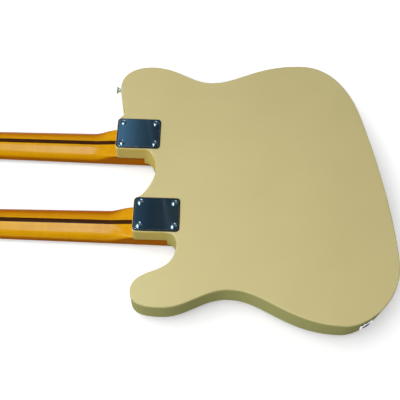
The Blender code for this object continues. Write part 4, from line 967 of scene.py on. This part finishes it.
# %% [markdown]
# A neck is carved from one piece: square and flat at its heel, round along the shaft,
# flat again at the headstock. So we skin it through many cross-sections. Each section
# blends a round back with a flat one by a number that goes smoothly from 0 to 1, and the
# same number lifts the edge, which gives the sloping shoulders where the heel ends.

# %% Sections of the neck
HEEL_CARVE = (-74.0, -35.0)
NUT_THICKNESS = 20.8
TWELFTH_FRET_THICKNESS = 22.8
ROUNDNESS = 2.2
HEEL_CORNER = 2.5
FINGERBOARD_RADIUS = 241.0
FINGERBOARD_EDGE = 7.0
ROLLED_EDGE = 0.5
HEADSTOCK_LENGTH = 179.94
HEADSTOCK_FACE = HEEL_BACK - 14.3
SHOULDER = (6.0, 30.0)
TREBLE_FLARE = 13.5
POST_STEP = 23.6
FIRST_POST = 38.0
STRING_STEP = 7.0
POST_OFFSET = 4.0
TUNER_ANGLE = math.atan2(STRING_STEP, POST_STEP)
TIP_RADIUS = 12.0
CORNER_STEPS = 8
FLAT_STEPS = 6


def smooth_step(low, high, value):
    """0 below low, 1 above high, and a smooth rise between."""
    share = min(max((value - low) / (high - low), 0.0), 1.0)
    return share * share * (3 - 2 * share)


def headstock_edges(reach):
    """Bass and treble edges of the headstock, at a reach past the nut."""
    bass_start = STRING_STEP * 2.5 + POST_OFFSET + 12.5 / math.cos(TUNER_ANGLE)
    bass_line = bass_start - math.tan(TUNER_ANGLE) * (reach - FIRST_POST)
    bass = NUT_WIDTH / 2 + (bass_line - NUT_WIDTH / 2) * smooth_step(*SHOULDER, reach)
    treble = -NUT_WIDTH / 2 - TREBLE_FLARE * smooth_step(0, HEADSTOCK_LENGTH * 0.85, reach)
    into_tip = min(max(reach - (HEADSTOCK_LENGTH - TIP_RADIUS), 0.0), TIP_RADIUS)
    drawn_in = TIP_RADIUS - math.sqrt(TIP_RADIUS**2 - into_tip**2)
    return bass - drawn_in, treble + drawn_in


def squareness_at(x):
    """How square the neck's back is: 1 at the heel and the headstock, 0 on the shaft."""
    return max(smooth_step(*HEEL_CARVE, x), smooth_step(4, SHOULDER[1], NUT_X - x))


def neck_back(x):
    """Level of the back of the neck at its middle."""
    reach = NUT_X - x
    twelfth_fret = SCALE_LENGTH / 2
    growth = (TWELFTH_FRET_THICKNESS - NUT_THICKNESS) / twelfth_fret
    shaft = NUT_THICKNESS + growth * min(max(-reach, 0.0), twelfth_fret)
    thick = max(smooth_step(*HEEL_CARVE, x), smooth_step(-4, SHOULDER[1] + 4, reach))
    return FINGERBOARD + shaft + (HEEL_THICKNESS - shaft) * thick


def back_shares(squareness, corner):
    """Back of a section as shares across and up, from its bass edge to its treble edge."""
    bass = []
    for step in range(CORNER_STEPS + FLAT_STEPS + 1):
        into_corner = min(step / CORNER_STEPS, 1.0)
        past_corner = max(step - CORNER_STEPS, 0) / FLAT_STEPS
        turn = math.radians(54 * into_corner + 36 * past_corner)
        round_y, round_z = (max(part, 0.0) ** (2 / ROUNDNESS) for part in (math.cos(turn), math.sin(turn)))
        flat_y = (1 - corner + corner * math.cos(math.pi / 2 * into_corner)) * (1 - past_corner)
        flat_z = math.sin(math.pi / 2 * into_corner)
        bass.append((round_y + (flat_y - round_y) * squareness, round_z + (flat_z - round_z) * squareness))
    return bass + [(-across, rise) for across, rise in reversed(bass[:-1])]


def neck_section(x):
    """One cross-section: the cambered fingerboard with rolled edges, and the carved back."""
    reach = NUT_X - x
    bass, treble = headstock_edges(reach) if reach > 0 else (neck_half_width(x), -neck_half_width(x))
    middle, half = (bass + treble) / 2, (bass - treble) / 2
    squareness = squareness_at(x)
    scoop = smooth_step(5.2, 26, reach)
    front = FINGERBOARD + (HEADSTOCK_FACE - FINGERBOARD) * scoop
    camber = (1 - scoop) / (2 * FINGERBOARD_RADIUS)
    back = neck_back(x)
    edge = front + FINGERBOARD_EDGE + (back - front - FINGERBOARD_EDGE - HEEL_CORNER) * squareness
    rolled = front + camber * half**2
    section = [(x, middle - half, rolled + ROLLED_EDGE), (x, middle - half + 0.3 * ROLLED_EDGE, rolled + 0.2)]
    for step in range(9):
        across = (half - ROLLED_EDGE) * (step / 4 - 1)
        section.append((x, middle + across, front + camber * across**2))
    section += [(x, middle + half - 0.3 * ROLLED_EDGE, rolled + 0.2), (x, middle + half, rolled + ROLLED_EDGE)]
    for across, rise in back_shares(squareness, min(HEEL_CORNER / half, 0.4)):
        section.append((x, middle + half * across, edge + (back - edge) * rise))
    return section


print("a section of the neck has", len(neck_section(0.0)), "points")

# %% [markdown]
# The sections stand closer together where the shape changes quickly: through the heel's
# carve, behind the nut, and round the tip of the headstock.

# %% The two necks


def neck_stations():
    """Places of the cross-sections, from the heel's end to the tip of the headstock."""
    heel = [HEEL_END, 0.0]
    carve = [HEEL_CARVE[1] - 3 * step for step in range(14)]
    shaft = [carve[-1] - 20 * step for step in range(1, 17)]
    behind_nut = [NUT_X - 2 * step for step in range(18)]
    head = [behind_nut[-1] - 8 * step for step in range(1, 17)]
    tip = [HEADSTOCK_LENGTH - TIP_RADIUS + TIP_RADIUS * math.sin(math.radians(turn)) for turn in range(0, 89, 8)]
    head = [x for x in head if x > NUT_X - tip[0] + 2]
    return heel + carve + shaft + behind_nut + head + [NUT_X - reach for reach in tip]


STATIONS = neck_stations()
neck_wood = skin([neck_section(x) for x in STATIONS])
for neck, place in NECKS.items():
    show(f"neck_wood_{neck}", neck_wood, "maple", [f"neck_{neck}"], at=place)
print("each neck has", len(STATIONS), "sections and", len(neck_wood.polygons), "faces")

# %% [markdown]
# The dark strip in the back closes the channel that the truss rod was put in through. It
# is glued in and carved with the neck, so it follows the same back level and its end is
# round, as a router leaves it.

# %% Walnut strip and the rod under it
STRIP_HALF = 3.5
STRIP_PROUD = 0.04
STRIP_ENDS = (NUT_X + 12.0, 10.0)


def strip_section(x):
    """Section of the strip: its top follows the neck's round back."""
    into_end = min((x - STRIP_ENDS[0]) / STRIP_HALF, 1.0)
    half = STRIP_HALF * max(math.sqrt(max(1 - (1 - into_end) ** 2, 0.0)), 0.1)
    crown = 0.06 * (1 - squareness_at(x))
    back = neck_back(x)
    section = [(x, -half, back - 2.0)]
    for step in range(7):
        y = half * (step / 3 - 1)
        section.append((x, y, back + STRIP_PROUD - crown * (y / STRIP_HALF) ** 2 - (0.03 if step in (0, 6) else 0)))
    return section + [(x, half, back - 2.0)]


strip_places = [STRIP_ENDS[1]] + [x for x in STATIONS if STRIP_ENDS[0] + STRIP_HALF < x < STRIP_ENDS[1]]
strip_places += [STRIP_ENDS[0] + STRIP_HALF * share for share in (1.0, 0.7, 0.45, 0.25, 0.1, 0.0)]
strip = skin([strip_section(x) for x in strip_places])
for neck, place in NECKS.items():
    show(f"walnut_strip_{neck}", strip, "walnut", [f"skunk_stripe_{neck}"], at=place)
    bevelled_copy(f"truss_rod_{neck}", "steel", 0.0)
print("strip from", round(STRIP_ENDS[0], 1), "to", STRIP_ENDS[1], "mm")

# %% [markdown]
# Fret wire is drawn with a round crown, cut to length and bent to the fingerboard's
# camber, and its ends are filed to a slope. Each fret is a skin of half-round sections
# across the neck; their places follow the twelfth root of two.

# %% Frets and position dots
FRET_WIDTH = 2.4
FRET_HEIGHT = 1.0
DOTTED_FRETS = (3, 5, 7, 9, 12, 15, 17, 19, 21)


def fret_x(number):
    """Place of a fret along the neck."""
    return NUT_X + SCALE_LENGTH * (1 - 2 ** (-number / 12))


def board_level(y):
    """Level of the cambered fingerboard at a distance from its middle."""
    return FINGERBOARD + y * y / (2 * FINGERBOARD_RADIUS)


def fret(number):
    """One fret wire."""
    x = fret_x(number)
    half = neck_half_width(x) - 0.5
    rings = []
    for share in (-1, -0.97, -0.75, -0.5, -0.25, 0, 0.25, 0.5, 0.75, 0.97, 1):
        y = half * share
        height = FRET_HEIGHT if abs(share) < 1 else FRET_HEIGHT * 0.3
        level = board_level(y)
        ring = [(x - FRET_WIDTH / 2, y, level + 0.4)]
        for step in range(8):
            turn = math.pi * step / 7
            ring.append((x - FRET_WIDTH / 2 * math.cos(turn), y, level - height * math.sin(turn) ** 0.7))
        rings.append(ring + [(x + FRET_WIDTH / 2, y, level + 0.4)])
    return skin(rings)


def dot(number, y):
    """A position dot let into the fingerboard between two frets."""
    x = (fret_x(number) + fret_x(number - 1)) / 2
    tilt = turned_about("X", math.degrees(y / FINGERBOARD_RADIUS))
    disc = lathe([(3.2, 0.6), (3.2, -0.01), (3.0, -0.04), (0.3, -0.05)], 24)
    return placed(disc, moved_to(x, y, board_level(y)) @ tilt)


frets = joined([fret(number) for number in range(1, FRET_COUNT + 1)])
dots = joined([dot(number, y) for number in DOTTED_FRETS for y in ((-9, 9) if number == 12 else (0,))])
for neck, place in NECKS.items():
    show(f"frets_{neck}", frets, "steel", body="root", at=place)
    show(f"position_dots_{neck}", dots, "black_plastic", body="root", at=place)
    bevelled_copy(f"nut_{neck}", "bone", 0.25)
print("first fret", round(fret_x(1) - NUT_X, 2), "mm from the nut, twelfth", round(fret_x(12) - NUT_X, 2))

# %% [markdown]
# Each neck is held by four long screws through a chromed plate. The plate is stamped,
# so its rim is rounded and each hole is dished to take the screw's head. It lies on a
# thin black cushion, a little wider than itself, which is the dark rim round it.

# %% Neck plates and their screws
PLATE_SIZE = (63.4, 50.4)
CUSHION_RIM = 1.8
CUSHION_THICKNESS = 0.7
PLATE_LOW = BACK + SEAT_GAP
PLATE_HIGH = PLATE_LOW + 1.8
SCREW_SPACING = (49.5, 37.0)

screw_places = [(x * SCREW_SPACING[0] / 2, y * SCREW_SPACING[1] / 2) for x in (-1, 1) for y in (-1, 1)]
plate = slab(rounded_rectangle(*PLATE_SIZE, 4.5), PLATE_LOW + CUSHION_THICKNESS, PLATE_HIGH, 0.0, 0.35, 4)
cushion_size = [length + 2 * CUSHION_RIM for length in PLATE_SIZE]
cushion = slab(rounded_rectangle(*cushion_size, 5.6), PLATE_LOW, PLATE_LOW + CUSHION_THICKNESS + 0.02, 0.0, 0.3, 2)
dish = lathe([(1.0, PLATE_HIGH - 1.05), (4.05, PLATE_HIGH - 1.05), (5.25, PLATE_HIGH + 0.15), (5.25, PLATE_HIGH + 1)])
dished_plate = carved(plate, at_places(dish, screw_places))
plate_screws = at_places(neck_screw, [(x, y, PLATE_HIGH - 1.0) for x, y in screw_places])
for neck, place in NECKS.items():
    show(f"screw_plate_{neck}", dished_plate, "chrome", [f"neck_plate_{neck}"], at=place)
    show(f"plate_cushion_{neck}", cushion, "black_plastic", body="root", at=place)
    show(f"plate_screws_{neck}", plate_screws, "chrome", body="root", at=place)
print("plates", PLATE_SIZE, "mm with", len(screw_places), "screws each")

# %% [markdown]
# The tuners sit in a row along the slanted bass side of the headstock. Their six pressed
# covers share one plate. Each cover has a collar where the key's shaft comes out, and
# small screws hold the plate between the covers.

# %% Tuner strips
TUNER_PITCH = math.hypot(STRING_STEP, POST_STEP)
TUNER_LOW = HEEL_BACK + SEAT_GAP
TUNER_HIGH = TUNER_LOW + 1.0
COVER_HEIGHT = 6.6
COVER_OFFSET = (2.0, 0.5)
GEAR_LEVEL = TUNER_HIGH + 1.6
WORM_OFFSET = 6.9
WORM_RADIUS = 1.9


def post_place(index):
    """Place of a string post beside its neck's plate, counted from the thickest string."""
    return Vector((NUT_X - FIRST_POST - POST_STEP * index, STRING_STEP * (2.5 - index) + POST_OFFSET, 0))


tuner_rows = [-TUNER_PITCH * index for index in range(6)]
strip_length = TUNER_PITCH * 5 + 25
strip_plate = slab(rounded_rectangle(strip_length, 19, 3), TUNER_LOW, TUNER_HIGH, 0.0, 0.3)
shapes = [placed(strip_plate, moved_to(tuner_rows[-1] / 2 + COVER_OFFSET[0], COVER_OFFSET[1]))]
cover = slab(rounded_rectangle(17, 17, 2.4), TUNER_LOW, TUNER_HIGH + COVER_HEIGHT, 0.0, 1.4, 5)
collar = lathe([(2.2, 0), (3.3, 0), (3.3, 2.2), (3.0, 2.6), (2.4, 2.8), (2.2, 2.6)], 24, hollow=True)
tiny_screw = screw_head(1.5, 0.7)
for row in tuner_rows:
    shapes.append(placed(cover, moved_to(row + COVER_OFFSET[0], COVER_OFFSET[1])))
    shapes.append(placed(collar, moved_to(row + WORM_OFFSET, COVER_OFFSET[1] + 8.3, GEAR_LEVEL) @ turned_about("X", -90)))
    shapes.append(placed(tiny_screw, moved_to(row + COVER_OFFSET[0] + TUNER_PITCH / 2, -5.5, TUNER_HIGH)))
tuner_strip = joined(shapes)
for neck, place in NECKS.items():
    show(f"tuner_plate_{neck}", tuner_strip, "chrome", [f"tuner_strip_{neck}"], at=place + post_place(0), turn=(0, 0, TUNER_ANGLE))
print("tuners", round(TUNER_PITCH, 2), "mm apart along", round(strip_length, 1), "mm of plate")

# %% [markdown]
# A key is a flat oval button on a thin shaft with a worm at its inner end. The button is
# a skin of ellipses: round where it leaves the shaft, then wide and flat, with a thin
# rim. The post that it turns has a slot and a waist, and a few turns of its string lie
# in the waist, so the winding rides on the post.

# %% Keys, posts and string windings
BUTTON_START = 15.0
BUTTON_LENGTH = 15.0
BUTTON_HALF = 9.25
BUTTON_FLATNESS = 0.43
POST_RADIUS = 3.0
POST_WAIST = 2.5
POST_TIP = HEADSTOCK_FACE - 15.5
WIND_LEVEL = HEADSTOCK_FACE - 6.0
STRING_DIAMETERS = (1.17, 0.91, 0.66, 0.43, 0.33, 0.25)
WOUND_STRINGS = 3


def key_mesh():
    """Worm, shaft and button along Z."""
    rings = []
    for turn in range(24):
        radius = WORM_RADIUS if turn % 3 else WORM_RADIUS - 0.45
        rings.append([(x, y, -6.7 + 0.5 * turn) for x, y in circle(radius, 24)])
    rings.append([(x, y, 6.0) for x, y in circle(1.6, 24)])
    rings.append([(x, y, BUTTON_START - 0.4) for x, y in circle(1.6, 24)])
    for step in range(17):
        share = step / 16
        width = BUTTON_HALF * (0.32 + 0.68 * math.sin(math.pi * min(0.08 + share * 0.85, 0.96)) ** 0.75)
        if step == 16:
            width *= 0.86
        flat = BUTTON_FLATNESS + 0.3 * (1 - share) ** 3
        rings.append([(x, y, BUTTON_START + BUTTON_LENGTH * share) for x, y in circle(width, 24, flat)])
    return skin(rings)


def post_mesh():
    """Slotted string post with its gear, about Z."""
    profile = [(2.2, POST_TIP), (POST_RADIUS - 0.3, POST_TIP + 0.1), (POST_RADIUS, POST_TIP + 0.5), (POST_RADIUS, POST_TIP + 3.5)]
    profile += [(POST_WAIST, WIND_LEVEL - 3.5), (POST_WAIST, WIND_LEVEL + 1.5), (POST_RADIUS, HEADSTOCK_FACE - 1.5)]
    profile += [(POST_RADIUS, GEAR_LEVEL - 1.7), (4.7, GEAR_LEVEL - 1.68), (4.7, GEAR_LEVEL + 1.7)]
    slot = slab([(-0.65, -4), (0.65, -4), (0.65, 4), (-0.65, 4)], POST_TIP - 1, POST_TIP + 4.5)
    hole = lathe([(0.9, POST_TIP - 1), (0.9, POST_TIP + 9)], 12)
    return carved(lathe(profile, 32), slot, hole)


def winding(index):
    """Turns of one string round its post's waist."""
    radius = STRING_DIAMETERS[index] / 2
    path = []
    for step in range(24 * 3 + 1):
        turn = 2 * math.pi * step / 24 - math.pi / 2
        reach = POST_WAIST + radius * 0.95
        path.append((reach * math.cos(turn), reach * math.sin(turn), WIND_LEVEL - 2.05 * radius * step / 24))
    return sweep(path, radius, 8)


key_shape = key_mesh()
post_shape = post_mesh()
bushing = lathe([(3.2, HEADSTOCK_FACE - 0.2), (5.4, HEADSTOCK_FACE - 0.2), (5.2, HEADSTOCK_FACE - 0.9), (4.4, HEADSTOCK_FACE - 1.4), (3.2, HEADSTOCK_FACE - 1.4)], hollow=True)
windings = [winding(index) for index in range(6)]
bushings = joined([placed(bushing, Matrix.Translation(post_place(index))) for index in range(6)])
for neck, place in NECKS.items():
    show(f"post_bushings_{neck}", bushings, "chrome", body="root", at=place)
    for index in range(6):
        post = place + post_place(index)
        along = Vector((math.cos(TUNER_ANGLE), math.sin(TUNER_ANGLE), 0)) * WORM_OFFSET
        name = f"{neck}_{index + 1}"
        key_turn = (-math.pi / 2, 0, TUNER_ANGLE)
        show(f"key_{name}", key_shape, "chrome", [f"tuning_key_{name}"], at=post + along + Vector((0, 0, GEAR_LEVEL)), turn=key_turn)
        show(f"post_{name}", post_shape, "chrome", [f"string_post_{name}"], at=post)
        show(f"winding_{name}", windings[index], "steel", body=f"string_post_{name}", at=post)
print("each key has", len(key_shape.polygons), "faces and each post", len(post_shape.polygons))

# %% [markdown]
# Each bridge carries three threaded brass barrels, and two strings cross each barrel.
# A barrel stands on two grub screws that set its height, and a longer screw with a
# spring sets its place along the strings.

# %% Bridges, saddles and strings
BRIDGE_REAR = 21.0
PLATE_FACE = FRONT - SEAT_GAP - 1.2
BARREL_RADIUS = 2.85
BARREL_HALF = 8.3
SADDLE_STRING_STEP = 10.5


def string_y(index, x):
    """Distance of a string from the middle of its neck."""
    return (STRING_STEP + (SADDLE_STRING_STEP - STRING_STEP) * (x - NUT_X) / SCALE_LENGTH) * (2.5 - index)


def string_level(x):
    """Level of the strings between the nut and the saddles."""
    return FINGERBOARD - 1.7 - 2.7 * (x - NUT_X) / SCALE_LENGTH


SADDLE_LEVEL = string_level(SADDLE_X)
BARREL_LEVEL = SADDLE_LEVEL + 2.94
ADJUSTER_LEVEL = BARREL_LEVEL + 1.76


def helix(radius, wire, length, turns, sides=8):
    """Spring along X from the origin."""
    steps = turns * 16
    path = []
    for step in range(steps + 1):
        turn = 2 * math.pi * turns * step / steps
        path.append((length * step / steps, radius * math.cos(turn), radius * math.sin(turn)))
    return sweep(path, wire, sides)


def barrel_mesh():
    """Barrel with a fine thread cut round it, along Y through the origin."""
    profile = [(BARREL_RADIUS - 0.5, -BARREL_HALF)]
    for ridge in range(33):
        level = -BARREL_HALF + 0.3 + 0.5 * ridge
        profile += [(BARREL_RADIUS - 0.12, level - 0.12), (BARREL_RADIUS, level), (BARREL_RADIUS - 0.12, level + 0.12)]
    profile.append((BARREL_RADIUS - 0.5, BARREL_HALF))
    return placed(lathe(profile, 24), turned_about("X", 90))


def barrel_y(pair):
    """Distance of a barrel from the middle of its neck."""
    return (string_y(2 * pair, SADDLE_X) + string_y(2 * pair + 1, SADDLE_X)) / 2


def string_path(index):
    """One string from the rear wall over its saddle and the nut to its post."""
    post = post_place(index)
    path = [(SADDLE_X + BRIDGE_REAR - 1.5, string_y(index, SADDLE_X), PLATE_FACE - 4.5)]
    for turn in (50, 68, 86):
        turn = math.radians(turn)
        path.append((SADDLE_X + 2.94 * math.cos(turn), string_y(index, SADDLE_X), BARREL_LEVEL - 2.94 * math.sin(turn)))
    nut = (NUT_X, string_y(index, NUT_X), string_level(NUT_X))
    path += [nut, (NUT_X - 3.2, nut[1], nut[2] + 0.1)]
    return path + [(post.x, post.y - POST_WAIST - STRING_DIAMETERS[index] / 2, WIND_LEVEL)]


adjusters = []
grub = lathe([(1.3, BARREL_LEVEL - BARREL_RADIUS - 0.4), (1.3, PLATE_FACE - 0.1)], 16)
socket = lathe([(0.7, BARREL_LEVEL - BARREL_RADIUS - 1), (0.7, BARREL_LEVEL - BARREL_RADIUS + 0.8)], 6)
grub = carved(grub, socket)
pan_head = placed(screw_head(2.3, 1.4), turned_about("Y", 90))
barrels = at_places(barrel_mesh(), [(SADDLE_X, barrel_y(pair), BARREL_LEVEL) for pair in range(3)])
for pair in range(3):
    y = barrel_y(pair)
    adjusters += [placed(grub, moved_to(SADDLE_X, y + side * 5.8)) for side in (-1, 1)]
    adjusters.append(sweep([(SADDLE_X, y, ADJUSTER_LEVEL), (SADDLE_X + BRIDGE_REAR + 1, y, ADJUSTER_LEVEL)], 1.2, 16))
    adjusters.append(placed(pan_head, moved_to(SADDLE_X + BRIDGE_REAR + 0.2, y, ADJUSTER_LEVEL)))
    adjusters.append(placed(helix(1.75, 0.3, BRIDGE_REAR - 4.4, 12), moved_to(SADDLE_X + 2.9, y, ADJUSTER_LEVEL)))
adjusters = joined(adjusters)
strings = joined([sweep(string_path(index), STRING_DIAMETERS[index] / 2, 12) for index in range(6)])
for neck, place in NECKS.items():
    bevelled_copy(f"bridge_{neck}", "chrome", 0.25)
    saddles = [f"saddle_strings_{neck}_{pair}" for pair in (1, 2, 3)]
    show(f"saddle_barrels_{neck}", barrels, "brass", saddles, at=place)
    show(f"saddle_screws_{neck}", adjusters, "steel", body="root", at=place)
    show(f"strings_{neck}", strings, "steel", body="root", at=place)
print("strings cross the saddles", round(SADDLE_LEVEL, 1), "mm above the table")

# %% [markdown]
# The pickup at each neck has a plated cover with soft edges. The slanted one in the
# bridge is a black block with six steel pole pieces flush under the strings, each with a
# bevelled rim.

# %% Pickups
cover = slab(rounded_rectangle(NECK_PICKUP[0], NECK_PICKUP[1], NECK_PICKUP[0] / 2 - 0.01, 12), FRONT - 6.9, FRONT + 9.1, 1.5, 0.0, 5)
POLE_LOW = PLATE_FACE - 4.5
block = slab(rounded_rectangle(BRIDGE_PICKUP[0], BRIDGE_PICKUP[1], BRIDGE_PICKUP[0] / 2 - 0.01, 12), POLE_LOW, POLE_LOW + BRIDGE_PICKUP[2], 0.8, 0.0)
block = placed(block, moved_to(BRIDGE_PICKUP_X, 0) @ turned_about("Z", BRIDGE_PICKUP_SLANT))
pole = lathe([(2.0, POLE_LOW - 0.6), (2.3, POLE_LOW - 0.45), (2.4, POLE_LOW - 0.2), (2.4, POLE_LOW + 1)], 24)
slant = math.tan(math.radians(BRIDGE_PICKUP_SLANT))
pole_rows = [string_y(index, BRIDGE_PICKUP_X) for index in range(6)]
poles = at_places(pole, [(BRIDGE_PICKUP_X - y * slant, y) for y in pole_rows])
for neck, place in NECKS.items():
    show(f"plated_pickup_{neck}", cover, "chrome", [f"neck_pickup_{neck}"], at=place + Vector((NECK_PICKUP_X, 0, 0)))
    show(f"slanted_pickup_{neck}", block, "black_plastic", [f"bridge_pickup_{neck}"], at=place)
    show(f"pole_pieces_{neck}", poles, "steel", body="root", at=place)
print("pole pieces", [round(y, 1) for y in pole_rows])

# %% [markdown]
# The pickguard and the control plate are sheets with small screws along their rims. Both
# keep the frame's shape and only get their edges eased, as a tumbled or bevelled sheet
# has. The screws stand upside down, because the front of the guitar faces the table.

# %% Pickguard, control plate and their screws
GUARD_FACE = FRONT - SEAT_GAP - 1.6
CONTROL_FACE = FRONT - SEAT_GAP - 1.2
GUARD_SCREWS = [
    ("upper", 14, 31), ("upper", 80, 35), ("upper", 134, 38), ("upper", 158, 30), ("upper", 158, -40),
    ("lower", 123, 40), ("lower", 123, -42), ("lower", 108, -88), ("lower", 62, -98), ("lower", 12, -126),
    ("lower", -17, -117), ("lower", -9, -96), ("lower", 24, -72), ("lower", 44, -34), ("upper", 44, -32),
]
bevelled_copy("pickguard", "black_plastic", 0.5)
bevelled_copy("control_plate", "chrome", 0.25)
bevelled_copy("pickup_switch_frame", "steel", 0.3)
guard_screws = [placed(small_screw, Matrix.Translation(NECKS[neck] + Vector((x, y, GUARD_FACE))) @ UPSIDE_DOWN) for neck, x, y in GUARD_SCREWS]
show("pickguard_screws", joined(guard_screws), "chrome", body="root")
plate_ends = [CONTROL_MIDDLE + Vector((side * 74, 0, CONTROL_FACE)) for side in (-1, 1)]
plate_ends += [CONTROL_MIDDLE + Vector((-52 + side * 17, 0, CONTROL_FACE)) for side in (-1, 1)]
show("control_plate_screws", joined([placed(small_screw, Matrix.Translation(place) @ UPSIDE_DOWN) for place in plate_ends]), "chrome", body="root")
print(len(GUARD_SCREWS), "screws in the pickguard")

# %% [markdown]
# The knobs are turned barrels with a diamond knurl, which gives wet fingers a grip. Two
# crossing sets of grooves leave small pyramids, so on the mesh every second point round
# each ring is pressed in, and the next ring has the others.

# %% Knobs
KNOB_RADIUS = 9.4
KNOB_HEIGHT = 15.5
KNURL_COLUMNS = 84
KNURL_DEPTH = 0.35


def knob_mesh():
    """Knurled barrel about Z; its flat top is at level 0."""
    rings = []
    for radius, level in ((8.2, 0.0), (8.9, 0.15), (9.3, 0.6), (9.4, 1.3)):
        rings.append([(x, y, level) for x, y in circle(radius, KNURL_COLUMNS)])
    for row in range(13):
        ring = []
        for column, (x, y) in enumerate(circle(1.0, KNURL_COLUMNS)):
            radius = KNOB_RADIUS - (KNURL_DEPTH if (row + column) % 2 else 0)
            ring.append((x * radius, y * radius, 1.8 + 0.85 * row))
        rings.append(ring)
    for radius, level in ((9.4, 12.6), (9.4, 15.1), (9.1, KNOB_HEIGHT)):
        rings.append([(x, y, level) for x, y in circle(radius, KNURL_COLUMNS)])
    return skin(rings)


knob_bore = lathe([(7.0, KNOB_HEIGHT - 5), (7.0, KNOB_HEIGHT + 1)], 32)
knob = joined([carved(knob_mesh(), knob_bore), lathe([(3.0, KNOB_HEIGHT - 8), (3.0, FRONT + 7)], 24)])
show("volume_knob_shown", knob, "chrome", ["volume_knob"], at=CONTROL_MIDDLE + Vector((5, 0, 0)))
show("tone_knob_shown", knob, "chrome", ["tone_knob"], at=CONTROL_MIDDLE + Vector((51, 0, 0)))
print("a knob has", len(knob.polygons), "faces")

# %% [markdown]
# Two switches: a blade with a round plastic tip that chooses the pickup, and a bat lever
# in a threaded bushing that chooses the neck. Both levers are made about their pivots,
# because that is where they turn.

# %% Switches
tip_level = CONTROL_FACE - 14.5 - (FRONT + 12.0)
profile = [(1.6, tip_level), (2.6, tip_level + 0.15), (3.3, tip_level + 0.6), (3.75, tip_level + 1.5), (3.8, tip_level + 2.4)]
profile += [(3.5, tip_level + 4), (2.9, tip_level + 6.5), (2.4, tip_level + 9)]
blade = slab(rounded_rectangle(4, 1.6, 0.3, 3), tip_level + 7, 3.0, 0.2, 0.2)
switch_place = CONTROL_MIDDLE + Vector((-52, 0, FRONT + 12.0))
show("switch_tip", lathe(profile), "black_plastic", ["pickup_switch_lever"], at=switch_place)
show("switch_blade", blade, "steel", body="pickup_switch_lever", at=switch_place)

selector_pivot = GUARD_FACE + 2.0
lever_tip = GUARD_FACE - 12.5 - selector_pivot
profile = [(0.8, lever_tip), (1.6, lever_tip + 0.2), (2.3, lever_tip + 0.8), (2.6, lever_tip + 1.8), (2.4, lever_tip + 4.5), (1.2, -2.2)]
profile += [(2.4 * math.cos(math.radians(turn)), 2.4 * math.sin(math.radians(turn))) for turn in range(-55, 76, 13)]
show("selector_bat", lathe(profile), "chrome", ["neck_selector_lever"], at=SELECTOR_MIDDLE + Vector((0, 0, selector_pivot)))
mouth = GUARD_FACE - 4.0
outside = [(5.5, mouth)]
for ridge in range(7):
    outside += [(5.5, mouth + 0.15 + 0.5 * ridge), (5.8, mouth + 0.4 + 0.5 * ridge)]
outside += [(5.8, FRONT + 2), (9.0, FRONT + 2.1), (9.0, FRONT + 20)]
throat = lathe([(5.0, mouth - 1), (4.4, mouth + 1), (2.8, selector_pivot - 2.4), (2.7, selector_pivot + 2.6)])
show("selector_case", carved(lathe(outside), throat), "steel", ["neck_selector_body"], at=SELECTOR_MIDDLE)
nut_block = slab(circle(8.6, 6), GUARD_FACE - 2.1, GUARD_FACE - 0.1, 0.3, 0.0)
dress_nut = carved(nut_block, lathe([(5.65, mouth - 1), (5.65, GUARD_FACE + 1)]))
show("selector_nut", dress_nut, "chrome", body="root", at=SELECTOR_MIDDLE)
print("switches made")

# %% [markdown]
# On the edge of the body sit the jack's cup and the strap button. Both are turned
# pieces, made along Z and then turned to point straight out of the wood.

# %% Jack and strap button
outline = [(8.5, 1.75), (7.7, 0.8), (6.2, -9.0), (4.9, -9.0), (4.9, -10.5), (10.0, -10.5), (10.0, 0.3)]
outline += [(11.0, 0.32), (11.0, 0.8), (10.4, 1.45), (9.6, 1.75)]
jack_rim = show("jack_rim", placed(lathe(outline, 48, hollow=True), edge_matrix(JACK_SPOT)), "chrome", ["jack_cup"])
# Inside the jack's cup the plating is painted dark: painted shade in the hollow of the cup.
jack_middle = edge_matrix(JACK_SPOT) @ Vector((0, 0, -4))
jack_rim.data.materials[0] = painted_shade_plating("chrome_painted_dark_inside", (0.86, 0.87, 0.89), (0.030, 0.028, 0.022), jack_middle, 9.6)
outline = [(3.4, -23.0), (7.4, -25.0), (7.4, -10.8), (4.6, -10.78), (4.6, -6.7), (4.3, -5.0), (4.0, -4.7), (3.4, -4.7)]
ring_nut = carved(slab(circle(7.2, 6), -8.7, -6.7, 0.0, 0.3), lathe([(4.5, -10), (4.5, -5)]))
socket = joined([lathe(outline, 32, hollow=True), ring_nut])
show("jack_barrel", placed(socket, edge_matrix(JACK_SPOT)), "steel", ["jack_socket"])
profile = [(5.5, 0.3), (5.3, 0.6), (4.2, 1.6), (3.5, 2.8), (3.5, 5.4), (3.9, 6.4), (5.2, 7.4), (6.2, 7.9), (6.4, 8.3), (6.3, 8.8)]
profile += [(5.6, 9.1), (3.8, 9.2), (2.8, 8.8)]
button = joined([lathe(profile, 40), placed(screw_head(2.5, 0.5), moved_to(0, 0, 8.75))])
holder = show("strap_holder", placed(button, edge_matrix(STRAP_BUTTON_SPOT)), "chrome", ["strap_button"])
holder.data.materials[0] = plating_finish("satin_chrome", (0.93, 0.94, 0.95), 0.38, 0.46)
